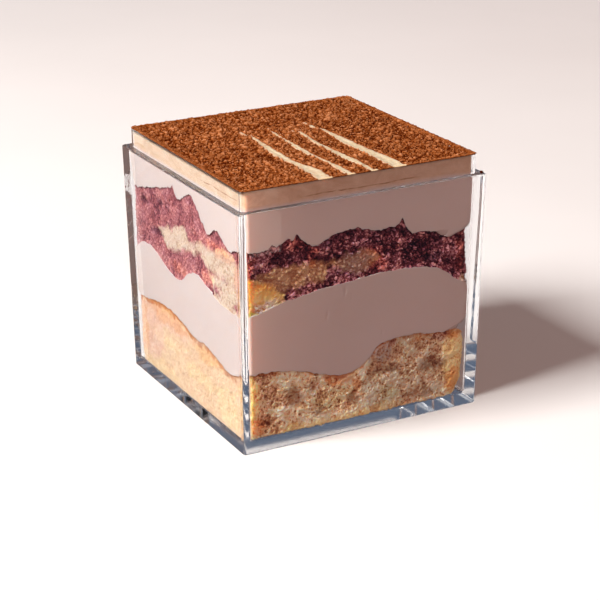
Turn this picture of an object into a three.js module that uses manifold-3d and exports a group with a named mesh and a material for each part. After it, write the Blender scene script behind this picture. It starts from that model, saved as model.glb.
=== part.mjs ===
// A tiramisu portion in a clear square cup: two layers of sponge fingers, two layers of cream and a
// dusting of cocoa, which a fork has combed in four streaks.
// Millimetres, +Z up, with the origin at the centre of the cup's underside.

import * as THREE from 'three';
import { mergeVertices } from 'three/addons/utils/BufferGeometryUtils.js';
import Module from 'manifold-3d';

const wasm = await Module();
wasm.setup();

// Cup
const CUP_HEIGHT = 68;
const CUP_HALF_AT_LEDGE = 35;
const CUP_HALF_AT_FOOT = 34;
const LEDGE_HEIGHT = 63;
const COLLAR_HALF = 33.2;
const FLOOR_HEIGHT = 2.6;
const CAVITY_HALF_AT_FLOOR = 31.6;
const CAVITY_HALF_AT_RIM = 32.4;
const OUTER_CORNER_RADIUS = 0.8;
const CAVITY_CORNER_RADIUS = 1.2;
const EDGE_BEVEL = 0.35;
const FLOOR_FILLET = 0.8;
const CORNER_STEPS = 4;

// Food: clearance between touching pieces, and how finely the layers are cut
const GAP = 0.3;
const SIDE_STATIONS = 20;
const SIDE_ROWS = 6;
const RING_SCALES = [0.3, 0.62, 0.88];
const CREAM_TOP = 67.2;
const COCOA_TOP = 68.1;
const COCOA_GRAIN = 0.22;
const COCOA_CELLS = 18;
const COCOA_CORNER_PULL = 0.5;
const MERGE_DISTANCE = 1e-5;

// Where the wall profiles below end, on either side of a wall's middle
const PROFILE_REACH = 32;
// A share of the cavity's half width above this lies on its wall
const ON_WALL = 0.999;

// Low waves of a spooned or torn surface, in radians for each millimetre along X and Y
const COARSE_WAVE = { x: 0.42, shiftX: 0.9, y: 0.37, shiftY: -0.4 };
const FINE_WAVE = { x: 0.83, y: -0.55, shift: 2.1, height: 0.6 };
// Pits in a layer's side, in radians for each station and each row
const PIT_WAVE = { station: 5.1, row: 7.7, slantStation: 2.3, slantRow: -1 };
// Clumps of sifted powder, in radians for each millimetre
const CLUMP_WAVE = { x: 1.7, y: 0.9, slantX: -0.8, slantY: 1.3, shift: 0.7 };

// Heights of the three inner interfaces along the four walls, as [place along the wall, height].
// front and back run along X at -Y and +Y, left and right along Y at -X and +X.
const BASE_SPONGE_TOP = {
  front: [[-32, 20.8], [-25, 20.6], [-15, 18.5], [-7, 15.9], [-2, 16.5], [1, 17.8], [5, 21.8],
    [15, 22.8], [23, 21.8], [28, 21.6], [32, 19.5]],
  left: [[-32, 20.8], [-25, 19.1], [-12, 21.8], [-7, 21.6], [3, 23.2], [10, 24.4], [20, 23.6],
    [28, 22.2], [32, 21]],
  right: [[-32, 19.5], [-20, 18.4], [-8, 21.5], [6, 23.4], [20, 20.6], [32, 22.4]],
  back: [[-32, 21], [-20, 23], [-8, 20.2], [5, 17.6], [18, 21.8], [32, 22.4]],
  swell: 0.25,
};
const LOWER_CREAM_TOP = {
  front: [[-32, 35.8], [-28, 36.6], [-22, 38.1], [-5, 40.3], [10, 41], [18, 40.2], [24, 38.3],
    [28, 35.2], [32, 33.3]],
  left: [[-32, 35.8], [-20, 36.2], [-14, 38.2], [-8, 39.5], [-3, 38], [3, 34.3], [10, 35.3],
    [17, 38], [25, 38.3], [32, 34.5]],
  right: [[-32, 33.3], [-22, 36.2], [-10, 38.6], [2, 36.8], [14, 39.8], [24, 38.8], [32, 36.4]],
  back: [[-32, 34.5], [-22, 37], [-10, 40.2], [2, 38.6], [14, 36.4], [24, 38.4], [32, 36.4]],
  swell: 0.2,
};
const SOAKED_SPONGE_TOP = {
  front: [[-32, 53], [-28, 52.2], [-18, 54.3], [-14, 51.7], [-7, 53.8], [-2, 54.2], [5, 52.6],
    [11, 53.2], [14, 50.3], [19, 50.3], [24, 47.6], [32, 48.3]],
  left: [[-32, 53], [-27, 52], [-21, 55], [-15, 52.7], [-10, 57.3], [-6, 60.3], [1, 57.1],
    [5, 58.8], [15, 56.5], [25, 54], [32, 52.6]],
  right: [[-32, 48.3], [-24, 50.8], [-14, 52.8], [-4, 49.6], [8, 53.8], [20, 55.4], [32, 52]],
  back: [[-32, 52.6], [-22, 54.8], [-10, 50.8], [2, 53.6], [12, 56.6], [22, 52.8], [32, 52]],
  swell: 0.45,
};

// Streaks that the fork leaves in the cocoa, each as [y, centre x, width] from the front wall back
const STREAKS = [
  [[-34, -10.6, 4.2], [-25, -9.8, 3.9], [-18, -10.2, 1.8], [-10, -10.6, 2.7], [0, -9.9, 1.9],
    [6, -9.3, 1.1], [10.5, -8.4, 0.4]],
  [[-34, -3.2, 2.4], [-26, -2.7, 1.8], [-18, -2.9, 1], [-8, -3.3, 1.7], [0, -2.8, 1.2],
    [6, -2.4, 0.8], [12, -1.8, 0.4]],
  [[-34, 3.2, 2.2], [-27, 3.6, 1.4], [-20, 3.2, 2.3], [-10, 3.1, 1.6], [0, 3.4, 1.3],
    [8, 4.2, 1.3]],
  [[-34, 10.5, 3.8], [-25, 11.3, 3.8], [-15, 10.6, 2.8], [-5, 10.5, 3.1], [0, 10.6, 2],
    [5, 10.7, 0.9], [9, 10.6, 0.4]],
];
const STREAK_STEP = 2.2;
const STREAK_RAGGED = 0.25;
const STREAK_RAGGED_TURNS = 2.9;
const STREAK_RAGGED_SHIFT = 1.3;
const STREAK_TIP_HALF = 0.15;
// The tine's cut starts this far below the cream's top, and is this tall
const STREAK_CUT_SINK = 1;
const STREAK_CUT_HEIGHT = 4;

// How far each kind of layer rounds in at its rims, is pitted, and stays out of the cup's corners
const BASE_FORM = { edge: 0.5, crumb: 0.7, corner: 1 };
const SOAKED_FORM = { edge: 0.3, crumb: 0.5, corner: 0.9 };
const CREAM_FORM = { edge: 0.1, crumb: 0, corner: 0.6 };

const FINISHES = {
  cup: { color: 0xe4edf2, roughness: 0.05, transparent: true, opacity: 0.3 },
  baseSponge: { color: 0xd9b27c, roughness: 0.9 },
  cream: { color: 0xe6cdbc, roughness: 0.45 },
  soakedSponge: { color: 0x6e3f3a, roughness: 0.7 },
  cocoa: { color: 0x8a4a2c, roughness: 1 },
};

const lerp = THREE.MathUtils.lerp;

// The cavity's half width at height z, which grows upwards with the walls' draft
function cavityHalf(z) {
  const rise = (z - FLOOR_HEIGHT) / (CUP_HEIGHT - FLOOR_HEIGHT);
  return lerp(CAVITY_HALF_AT_FLOOR, CAVITY_HALF_AT_RIM, rise);
}

// Smooth height between knots [place, height], with slopes taken from each knot's neighbours
function along(knots, place) {
  let i = 0;
  while (i < knots.length - 2 && place > knots[i + 1][0]) i++;
  const slope = (k) => {
    const [x0, z0] = knots[Math.max(k - 1, 0)];
    const [x1, z1] = knots[Math.min(k + 1, knots.length - 1)];
    return (z1 - z0) / (x1 - x0);
  };
  const [xa, za] = knots[i];
  const [xb, zb] = knots[i + 1];
  const span = xb - xa;
  const t = THREE.MathUtils.clamp((place - xa) / span, 0, 1);
  const rise = za + (zb - za) * t * t * (3 - 2 * t);
  const start = t * (1 - t) ** 2 * span * slope(i);
  const end = t * t * (t - 1) * span * slope(i + 1);
  return rise + start + end;
}

// The height of a spooned or torn surface's waves at (x, y), about from -1.6 to 1.6
function waves(x, y) {
  const { x: cx, shiftX, y: cy, shiftY } = COARSE_WAVE;
  const coarse = Math.sin(cx * x + shiftX) * Math.cos(cy * y + shiftY);
  const fine = Math.sin(FINE_WAVE.x * x + FINE_WAVE.y * y + FINE_WAVE.shift);
  return coarse + FINE_WAVE.height * fine;
}

// An interface's height at (x, y): the four wall profiles blended across the cup, with its waves
function heightOf(sheet) {
  const reach = PROFILE_REACH;
  return (x, y) => {
    const s = THREE.MathUtils.clamp((x + reach) / (2 * reach), 0, 1);
    const t = THREE.MathUtils.clamp((y + reach) / (2 * reach), 0, 1);
    const acrossY = lerp(along(sheet.front, x), along(sheet.back, x), t);
    const acrossX = lerp(along(sheet.left, y), along(sheet.right, y), s);
    const low = lerp(sheet.front[0][1], sheet.front.at(-1)[1], s);
    const high = lerp(sheet.back[0][1], sheet.back.at(-1)[1], s);
    return acrossY + acrossX - lerp(low, high, t) + sheet.swell * waves(x, y);
  };
}

function indexed(positions, faces) {
  const geometry = new THREE.BufferGeometry();
  geometry.setAttribute('position', new THREE.Float32BufferAttribute(positions, 3));
  geometry.setIndex(faces);
  geometry.computeVertexNormals();
  return geometry;
}

// A closed body through rings of equally many points, each counter-clockwise from above.
// The first ring is capped downwards and the last upwards. The first `turned` bands are cut along
// their other diagonal, so that the faces of two stacked layers run parallel.
function loft(rings, turned = 0) {
  const count = rings[0].length;
  const middle = (ring) => ring.reduce((sum, p) => sum.add(p), new THREE.Vector3())
    .divideScalar(count);
  const points = [...rings.flat(), middle(rings[0]), middle(rings.at(-1))];
  const [foot, crown] = [points.length - 2, points.length - 1];
  const last = (rings.length - 1) * count;
  const faces = [];
  for (let j = 0; j < count; j++) {
    const next = (j + 1) % count;
    faces.push(foot, next, j);
    faces.push(crown, last + j, last + next);
    for (let r = 0; r < rings.length - 1; r++) {
      const [a, b] = [r * count + j, r * count + next];
      const [c, d] = [a + count, b + count];
      if (r < turned) faces.push(a, b, c, b, d, c);
      else faces.push(a, b, d, a, d, c);
    }
  }
  return indexed(points.flatMap((p) => [p.x, p.y, p.z]), faces);
}

// A horizontal rounded square
function roundedSquare(half, radius, z) {
  const ring = [];
  for (let corner = 0; corner < 4; corner++) {
    const turn = corner * Math.PI / 2;
    const middle = new THREE.Vector2(half - radius, half - radius).rotateAround(
      new THREE.Vector2(), turn);
    for (let step = 0; step <= CORNER_STEPS; step++) {
      const angle = turn + (Math.PI / 2) * step / CORNER_STEPS;
      ring.push(new THREE.Vector3(
        middle.x + radius * Math.cos(angle), middle.y + radius * Math.sin(angle), z));
    }
  }
  return ring;
}

// The cup: drafted walls, a ledge for its lid, and a thin collar that the lid slides over
function cup() {
  const outer = OUTER_CORNER_RADIUS;
  const inner = CAVITY_CORNER_RADIUS;
  const collarInner = COLLAR_HALF - CAVITY_HALF_AT_RIM;
  return loft([
    roundedSquare(CUP_HALF_AT_FOOT - EDGE_BEVEL, outer, 0),
    roundedSquare(CUP_HALF_AT_FOOT, outer, EDGE_BEVEL),
    roundedSquare(CUP_HALF_AT_LEDGE, outer, LEDGE_HEIGHT - EDGE_BEVEL),
    roundedSquare(CUP_HALF_AT_LEDGE - EDGE_BEVEL, outer, LEDGE_HEIGHT),
    roundedSquare(COLLAR_HALF, inner + collarInner / 2, LEDGE_HEIGHT),
    roundedSquare(COLLAR_HALF, inner + collarInner / 2, CUP_HEIGHT - EDGE_BEVEL / 2),
    roundedSquare(COLLAR_HALF - EDGE_BEVEL / 2, inner + collarInner / 2, CUP_HEIGHT),
    roundedSquare(CAVITY_HALF_AT_RIM, inner, CUP_HEIGHT),
    roundedSquare(cavityHalf(FLOOR_HEIGHT + FLOOR_FILLET), inner, FLOOR_HEIGHT + FLOOR_FILLET),
    roundedSquare(CAVITY_HALF_AT_FLOOR - FLOOR_FILLET, inner, FLOOR_HEIGHT),
  ]);
}

// Stations round a square from -1 to 1, counter-clockwise, as { u, v, corner }
function squareStations(perSide) {
  const stations = [];
  for (let side = 0; side < 4; side++) {
    for (let step = 0; step < perSide; step++) {
      const place = new THREE.Vector2(1, -1 + 2 * step / perSide);
      place.rotateAround(new THREE.Vector2(), side * Math.PI / 2);
      stations.push({ u: place.x, v: place.y, corner: step === 0 });
    }
  }
  return stations;
}

// A point of a layer's skin: out against the wall, less `draw` all along and `pull` more at a corner
function skinPoint(station, z, draw, pull) {
  const reach = cavityHalf(z) - GAP;
  const back = draw + (station.corner ? pull : 0);
  const inward = (share) => share * reach - Math.sign(share) * back * (Math.abs(share) > ON_WALL);
  return new THREE.Vector3(inward(station.u), inward(station.v), z);
}

// One layer of the food, between two heights, pressed against the four walls.
// edge is how far its rims round in, crumb how deep its side is pitted, and corner how far it stays
// out of the cup's corners.
function layer(bottom, top, { edge, crumb, corner }) {
  const stations = squareStations(SIDE_STATIONS);
  const { station: turn, row: drop, slantStation, slantRow } = PIT_WAVE;
  const rim = (height, shift) => stations.map((station) => {
    const at = skinPoint(station, (CUP_HEIGHT + FLOOR_HEIGHT) / 2, edge, corner);
    return skinPoint(station, height(at.x, at.y) + shift, edge, corner);
  });
  const spread = (ring, scale, height, shift) => ring.map((p) => {
    const at = new THREE.Vector3(p.x * scale, p.y * scale, 0);
    at.z = height(at.x, at.y) + shift;
    return at;
  });
  const low = rim(bottom, GAP / 2);
  const high = rim(top, -GAP / 2);
  const sides = [];
  for (let row = 1; row < SIDE_ROWS; row++) {
    const rise = row / SIDE_ROWS;
    sides.push(stations.map((station, j) => {
      const z = lerp(low[j].z, high[j].z, rise);
      const wave = Math.sin(turn * j + drop * row) * Math.cos(slantStation * j + slantRow * row);
      const pit = crumb * (0.5 + 0.5 * wave);
      const bulge = Math.max(0, 1 - 4 * Math.min(rise, 1 - rise));
      return skinPoint(station, z, pit + edge * bulge, corner);
    }));
  }
  const below = RING_SCALES.map((scale) => spread(low, scale, bottom, GAP / 2));
  const above = RING_SCALES.map((scale) => spread(high, scale, top, -GAP / 2)).reverse();
  return loft([...below, low, ...sides, high, ...above], below.length);
}

// The cocoa powder before the fork goes through it: a square sheet, flat below and clumpy on top
function cocoaSheet() {
  const half = cavityHalf(CUP_HEIGHT) - GAP;
  const { slantX, slantY, shift } = CLUMP_WAVE;
  const clump = (x, y) => Math.sin(CLUMP_WAVE.x * x + CLUMP_WAVE.y * y)
    * Math.cos(slantY * y + slantX * x + shift);
  const across = COCOA_CELLS + 1;
  const points = [];
  for (const level of [0, 1]) {
    for (let j = 0; j < across; j++) {
      for (let i = 0; i < across; i++) {
        const corner = i % COCOA_CELLS === 0 && j % COCOA_CELLS === 0;
        const reach = corner ? half - COCOA_CORNER_PULL : half;
        const x = reach * (2 * i / COCOA_CELLS - 1);
        const y = reach * (2 * j / COCOA_CELLS - 1);
        const top = COCOA_TOP + COCOA_GRAIN * clump(x, y);
        points.push(x, y, level === 1 ? top : CREAM_TOP + GAP / 2);
      }
    }
  }
  const at = (i, j, level) => (level * across + j) * across + i;
  const faces = [];
  const quad = (a, b, c, d) => faces.push(a, b, c, a, c, d);
  for (let k = 0; k < COCOA_CELLS; k++) {
    for (let m = 0; m < COCOA_CELLS; m++) {
      quad(at(k, m, 1), at(k + 1, m, 1), at(k + 1, m + 1, 1), at(k, m + 1, 1));
      quad(at(k, m, 0), at(k, m + 1, 0), at(k + 1, m + 1, 0), at(k + 1, m, 0));
    }
    const end = COCOA_CELLS;
    quad(at(k, 0, 0), at(k + 1, 0, 0), at(k + 1, 0, 1), at(k, 0, 1));
    quad(at(end, k, 0), at(end, k + 1, 0), at(end, k + 1, 1), at(end, k, 1));
    quad(at(k + 1, end, 0), at(k, end, 0), at(k, end, 1), at(k + 1, end, 1));
    quad(at(0, k + 1, 0), at(0, k, 0), at(0, k, 1), at(0, k + 1, 1));
  }
  return indexed(points, faces);
}

// What one tine of the fork takes out of the cocoa
function streakCutter(stations) {
  const [front, back] = [stations[0][0], stations.at(-1)[0]];
  const steps = Math.ceil((back - front) / STREAK_STEP);
  const centres = stations.map(([y, centre]) => [y, centre]);
  const widths = stations.map(([y, , width]) => [y, width]);
  const edge = (side) => Array.from({ length: steps + 1 }, (_, i) => {
    const y = lerp(front, back, i / steps);
    const turns = STREAK_RAGGED_TURNS * y + side * STREAK_RAGGED_SHIFT + stations[0][1];
    const ragged = STREAK_RAGGED * Math.sin(turns) * (1 - i / steps);
    const half = Math.max(STREAK_TIP_HALF, along(widths, y) / 2 + ragged);
    return new THREE.Vector2(along(centres, y) + side * half, y);
  });
  const outline = [...edge(1), ...edge(-1).reverse()];
  const cutter = new THREE.ExtrudeGeometry(new THREE.Shape(outline), {
    depth: STREAK_CUT_HEIGHT, bevelEnabled: false,
  });
  return cutter.translate(0, 0, CREAM_TOP - STREAK_CUT_SINK);
}

function toManifold(geometry) {
  const bare = new THREE.BufferGeometry();
  bare.setAttribute('position', geometry.getAttribute('position'));
  if (geometry.index) bare.setIndex(geometry.index);
  const merged = mergeVertices(bare, MERGE_DISTANCE);
  return new wasm.Manifold(new wasm.Mesh({
    numProp: 3,
    vertProperties: new Float32Array(merged.getAttribute('position').array),
    triVerts: new Uint32Array(merged.index.array),
  }));
}

function fromManifold(solid) {
  const { vertProperties, triVerts, numProp } = solid.getMesh();
  const positions = [];
  for (let i = 0; i < vertProperties.length; i += numProp) {
    positions.push(vertProperties[i], vertProperties[i + 1], vertProperties[i + 2]);
  }
  return indexed(positions, [...triVerts]);
}

function combedCocoa() {
  let powder = toManifold(cocoaSheet());
  for (const stations of STREAKS) powder = powder.subtract(toManifold(streakCutter(stations)));
  return fromManifold(powder);
}

function piece(name, geometry, finish) {
  const material = new THREE.MeshStandardMaterial({ metalness: 0, ...finish });
  const mesh = new THREE.Mesh(geometry, material);
  mesh.name = name;
  return mesh;
}

const floor = () => FLOOR_HEIGHT + GAP / 2;
const baseTop = heightOf(BASE_SPONGE_TOP);
const creamTop = heightOf(LOWER_CREAM_TOP);
const soakedTop = heightOf(SOAKED_SPONGE_TOP);
const brim = () => CREAM_TOP;

const tiramisu = new THREE.Group();
tiramisu.add(
  piece('box', cup(), FINISHES.cup),
  piece('sponge_base', layer(floor, baseTop, BASE_FORM), FINISHES.baseSponge),
  piece('cream_lower', layer(baseTop, creamTop, CREAM_FORM), FINISHES.cream),
  piece('sponge_soaked', layer(creamTop, soakedTop, SOAKED_FORM), FINISHES.soakedSponge),
  piece('cream_upper', layer(soakedTop, brim, CREAM_FORM), FINISHES.cream),
  piece('cocoa', combedCocoa(), FINISHES.cocoa),
);

export default tiramisu;
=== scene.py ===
"""Looks of a tiramisu portion in a clear square cup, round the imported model's frame.

Shapes are worked out in millimetres and become metres when a mesh is made. +Z is up, and the
origin is the centre of the cup's underside. The cup's front wall is at -Y and its left wall at -X.
"""

import math
from itertools import product

import bpy
import numpy as np
from mathutils import Matrix, Vector


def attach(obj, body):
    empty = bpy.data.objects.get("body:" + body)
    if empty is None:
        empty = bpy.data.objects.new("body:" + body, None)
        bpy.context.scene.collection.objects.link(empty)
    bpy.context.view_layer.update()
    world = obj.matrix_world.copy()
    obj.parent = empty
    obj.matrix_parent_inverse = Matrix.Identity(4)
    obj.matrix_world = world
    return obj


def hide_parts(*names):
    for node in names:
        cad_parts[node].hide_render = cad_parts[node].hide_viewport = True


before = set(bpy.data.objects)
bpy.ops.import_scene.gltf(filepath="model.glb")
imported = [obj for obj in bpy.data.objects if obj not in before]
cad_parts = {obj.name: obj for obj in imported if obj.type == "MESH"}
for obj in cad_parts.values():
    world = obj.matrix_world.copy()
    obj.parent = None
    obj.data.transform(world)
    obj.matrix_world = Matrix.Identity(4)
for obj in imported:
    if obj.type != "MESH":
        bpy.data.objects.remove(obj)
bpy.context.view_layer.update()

MM = 0.001
FRONT, RIGHT, BACK, LEFT = range(4)

# Cup, as in the CAD model
CUP_HEIGHT = 68.0
CUP_HALF_AT_LEDGE = 35.0
CUP_HALF_AT_FOOT = 34.0
LEDGE_HEIGHT = 63.0
COLLAR_HALF = 33.2
FLOOR_HEIGHT = 2.6
CAVITY_HALF_AT_FLOOR = 31.6
CAVITY_HALF_AT_RIM = 32.4
OUTER_CORNER_RADIUS = 0.8
CAVITY_CORNER_RADIUS = 1.2
EDGE_BEVEL = 0.35
FLOOR_FILLET = 0.8

# Heights at the top, where the cream's rim stands a little above its middle
CREAM_TOP = 67.2
CREAM_RIM = 67.6
COCOA_TOP = 68.3

# How far from the middle each of these starts and is complete: the torn tips, the cream's rim, and
# the powder on the cup's rim, its smears and its frayed edge
TIPS_RISE = (28.5, 31.0)
CREAM_RISE = (31.0, 31.7)
OVER_RIM = (31.6, 32.1)
SMEARED = (31.8, 32.1)
FRAYED = (32.5, 33.0)

# The food is cut into columns round the cup. It reaches just into the back wall. On the other
# walls lies a film of air, too thin to see: it lets light run along inside the wall, so that the
# cup's corners look clear.
COLUMN_STEP = 0.25
CORNER_COLUMNS = 9
SPONGE_ROW_STEP = 0.3
CREAM_ROW_STEP = 0.9
REACH = 0.05
FILM = 0.035
BEHIND_CREAM = 0.02
UNDER_SPONGE = 0.05
# rows close to a layer's upper and lower edge, by their distance from it
EDGE_ROWS = (0.0, 0.08, 0.2, 0.4)
# rings in a layer's upper and lower face, by their share of its size
CAP_SCALES = (0.985, 0.965, 0.85, 0.6, 0.3)

# Interfaces, as in the CAD model: height against place along each wall
PROFILE_REACH = 32.0
SWELL_MARGIN = 8.0
RAG_SIZE = 1.5
BASE_SPONGE_TOP = {
    "front": [(-32, 20.8), (-25, 20.6), (-15, 18.5), (-7, 15.9), (-2, 16.5), (1, 17.8),
              (5, 21.8), (15, 22.8), (23, 21.8), (28, 21.6), (32, 19.5)],
    "left": [(-32, 20.8), (-25, 19.1), (-12, 21.8), (-7, 21.6), (3, 23.2), (10, 24.4),
             (20, 23.6), (28, 22.2), (32, 21)],
    "right": [(-32, 19.5), (-20, 18.4), (-8, 21.5), (6, 23.4), (20, 20.6), (32, 22.4)],
    "back": [(-32, 21), (-20, 23), (-8, 20.2), (5, 17.6), (18, 21.8), (32, 22.4)],
    "swell": 0.25,
    "ragged": 0.5,
}
LOWER_CREAM_TOP = {
    "front": [(-32, 35.8), (-28, 36.6), (-22, 38.1), (-5, 40.3), (10, 41), (18, 40.2),
              (24, 38.3), (28, 35.2), (32, 33.3)],
    "left": [(-32, 35.8), (-20, 36.2), (-14, 38.2), (-8, 39.5), (-3, 38), (3, 34.3),
             (10, 35.3), (17, 38), (25, 38.3), (32, 34.5)],
    "right": [(-32, 33.3), (-22, 36.2), (-10, 38.6), (2, 36.8), (14, 39.8), (24, 38.8),
              (32, 36.4)],
    "back": [(-32, 34.5), (-22, 37), (-10, 40.2), (2, 38.6), (14, 36.4), (24, 38.4),
             (32, 36.4)],
    "swell": 0.2,
    "ragged": 0.45,
}
SOAKED_SPONGE_TOP = {
    "front": [(-32, 53), (-28, 52.2), (-18, 54.3), (-14, 51.7), (-7, 53.8), (-2, 54.2),
              (5, 52.6), (11, 53.2), (14, 50.3), (19, 50.3), (24, 47.6), (32, 48.3)],
    "left": [(-32, 53), (-27, 52), (-21, 55), (-15, 52.7), (-10, 57.3), (-6, 60.3),
             (1, 57.1), (5, 58.8), (15, 56.5), (25, 54), (32, 52.6)],
    "right": [(-32, 48.3), (-24, 50.8), (-14, 52.8), (-4, 49.6), (8, 53.8), (20, 55.4),
              (32, 52)],
    "back": [(-32, 52.6), (-22, 54.8), (-10, 50.8), (2, 53.6), (12, 56.6), (22, 52.8),
             (32, 52)],
    "swell": 0.45,
    "ragged": 0.75,
    # torn tips of crumb that stand up into the cream: side, place, height, half width
    "tips": [(FRONT, -25.2, 1.1, 1.1), (FRONT, -20.8, 0.5, 0.8), (FRONT, -18.4, 1.1, 0.9),
             (FRONT, 11.2, 1.5, 1.0), (LEFT, 4.6, 1.0, 1.2), (LEFT, -1.0, 0.5, 1.0),
             (LEFT, -13.0, 0.9, 1.0), (RIGHT, -14.0, 1.4, 0.9), (BACK, 11.0, 1.3, 1.1)],
}

# Radius of each layer's corners against height, where the food shrank from the cup's corners. It
# fills the others.
SNUG_CORNER = [(0, CAVITY_CORNER_RADIUS)]
BASE_SPONGE_CORNERS = {
    "front right": [(3, 6.5), (5, 5.2), (7.5, 3.6), (11, 2.7), (18, 2.7), (20.5, 4.6)],
    "back right": [(3, 5), (8, 3), (20, 3.6)],
    "back left": [(3, 3.4), (8, 2.7), (22, 3.2)],
}
LOWER_CREAM_CORNERS = {
    "front right": [(20, 7.5), (22, 6.5), (23, 3.4), (24.5, 1.5), (32, 1.4), (33.6, 2.6)],
    "back right": [(22, 4.5), (24, 1.6), (36, 1.6)],
    "back left": [(21.5, 4), (23.2, 1.4), (34, 1.4)],
}
SOAKED_SPONGE_CORNERS = {
    "front right": [(34, 2.2), (38, 2.4), (44, 3.4), (48, 4.6)],
    "back right": [(36, 2.4), (52, 4)],
    "back left": [(35, 2.2), (46, 2.8), (53, 3.6)],
}
UPPER_CREAM_CORNERS = {
    "front right": [(47.5, 7.5), (49, 3.2), (50.5, 1.5), (60, 1.2)],
    "back right": [(51, 5), (54, 1.6), (60, 1.2)],
    "back left": [(52, 4.4), (54, 3.2), (57, 1.9), (61, 1.2)],
}

# Where the crumb's colour changes on the walls, and where shade and light are painted on it: cave
# spots and broad darker patches are painted shade, and amber spots a painted glow. A field has a
# lower and an upper edge against place, and a spot has its place, height and two half sizes.
BASE_SPONGE_SPOTS = {
    "golden": [(FRONT, -32, 13.4, 3.3, 8.4), (FRONT, 29, 13.5, 4.6, 9.5), (FRONT, -18, 3.3, 9, 1.6),
               (FRONT, 2, 3.2, 12, 1.8), (RIGHT, 28, 12, 4, 9), (BACK, -29, 10, 4, 8)],
    "rust": [(FRONT, -29, 5.8, 3.2, 2.4), (FRONT, -6, 14.9, 4.6, 1.9), (FRONT, 27.2, 20.4, 2, 1.4),
             (FRONT, 27.6, 8, 1.8, 3.4), (FRONT, 17, 21.2, 3, 1), (FRONT, -1, 12.4, 0.9, 2.6),
             (RIGHT, 4, 20, 6, 2.2), (RIGHT, -20, 6, 4, 2), (BACK, 10, 15, 6, 2)],
    # painted shade: cave spots lie deeper and are tinted darker, as shade in a hollow
    "cave": [(FRONT, -19.3, 12.8, 2.6, 2.2), (FRONT, 7.6, 14.2, 4.2, 1.3), (FRONT, 21.5, 13, 3, 1.6),
             (FRONT, 16.5, 6, 3.6, 1.2), (FRONT, -13, 7, 2, 1.3), (FRONT, -25, 6, 2.2, 1.3),
             (FRONT, -13.5, 14.2, 2, 1), (FRONT, -2, 8, 1.6, 2), (RIGHT, -6, 11, 4, 2),
             (RIGHT, 14, 8, 3, 1.6), (BACK, -12, 9, 4, 2), (BACK, 14, 12, 3, 2)],
    "mauve": [(FRONT, 6, 19.6, 4.4, 2.6), (FRONT, 23.5, 20.4, 2.6, 1.2), (RIGHT, -12, 17, 5, 2.5)],
    # painted shade: broad darker patches over the front wall's right half and low on the right and
    # back walls
    "dim": [(FRONT, 13, 11, 12.5, 12), (RIGHT, 0, 6, 14, 5), (BACK, -4, 7, 14, 5)],
    "khaki": [(FRONT, -8, 9.5, 5.5, 2.8), (FRONT, 7.5, 7.6, 3.8, 2.4), (RIGHT, 4, 8, 6, 3)],
    "rosy": [(LEFT, 24, 14, 9, 8), (LEFT, 14, 20, 14, 2.6), (BACK, 20, 12, 9, 7)],
    "toast": [(LEFT, 12, 21.6, 12, 3), (LEFT, -14, 18.8, 8, 2.2), (LEFT, 27, 12, 2, 8),
              (BACK, 6, 18, 10, 3)],
    "yolk": [(LEFT, -8, 11, 9, 2.2), (LEFT, -24, 9, 7, 5), (LEFT, 14, 14, 9, 1.6),
             (LEFT, 16, 5, 9, 2.2)],
}
SOAKED_SPONGE_FIELDS = {
    "golden": [
        (FRONT,
         [(-32.5, 36), (-29, 36.6), (-26, 38.6), (-24, 40.6), (-15, 41.6), (-10.6, 41.4),
          (-9.6, 45.2), (-7.6, 45.4), (-5, 43), (-2, 41.6), (1, 41.4), (3, 43), (5, 45.5)],
         [(-32.5, 45.6), (-28, 46.4), (-20, 47.3), (-14, 47.8), (-10, 46.2), (-5, 47),
          (-1, 48.3), (2, 48), (5, 45.5)]),
        (RIGHT,
         [(-14, 42), (-6, 41), (4, 42), (12, 44.5)], [(-14, 42), (-6, 46.5), (4, 47), (12, 44.5)]),
    ],
    "pale": [
        (LEFT,
         [(-32.5, 35), (-17.6, 35), (-17, 40.6), (-14, 42.8), (-11.5, 45.3), (-6, 45.1),
          (-3, 44.4), (1, 43), (6, 41.8), (10, 41.6), (12.5, 43.6), (14.5, 45)],
         [(-32.5, 48.6), (-29, 50.8), (-25, 51.3), (-20, 49.9), (-11, 48.7), (-7, 47.6),
          (-3.2, 46.9), (-2, 49.5), (1, 49.9), (4, 48.6), (9, 47.9), (12, 46.4), (14.5, 45)]),
        (BACK, [(-20, 44), (-10, 41.5), (4, 42), (14, 45)], [(-20, 44), (-10, 46), (4, 48), (14, 45)]),
    ],
}
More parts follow.
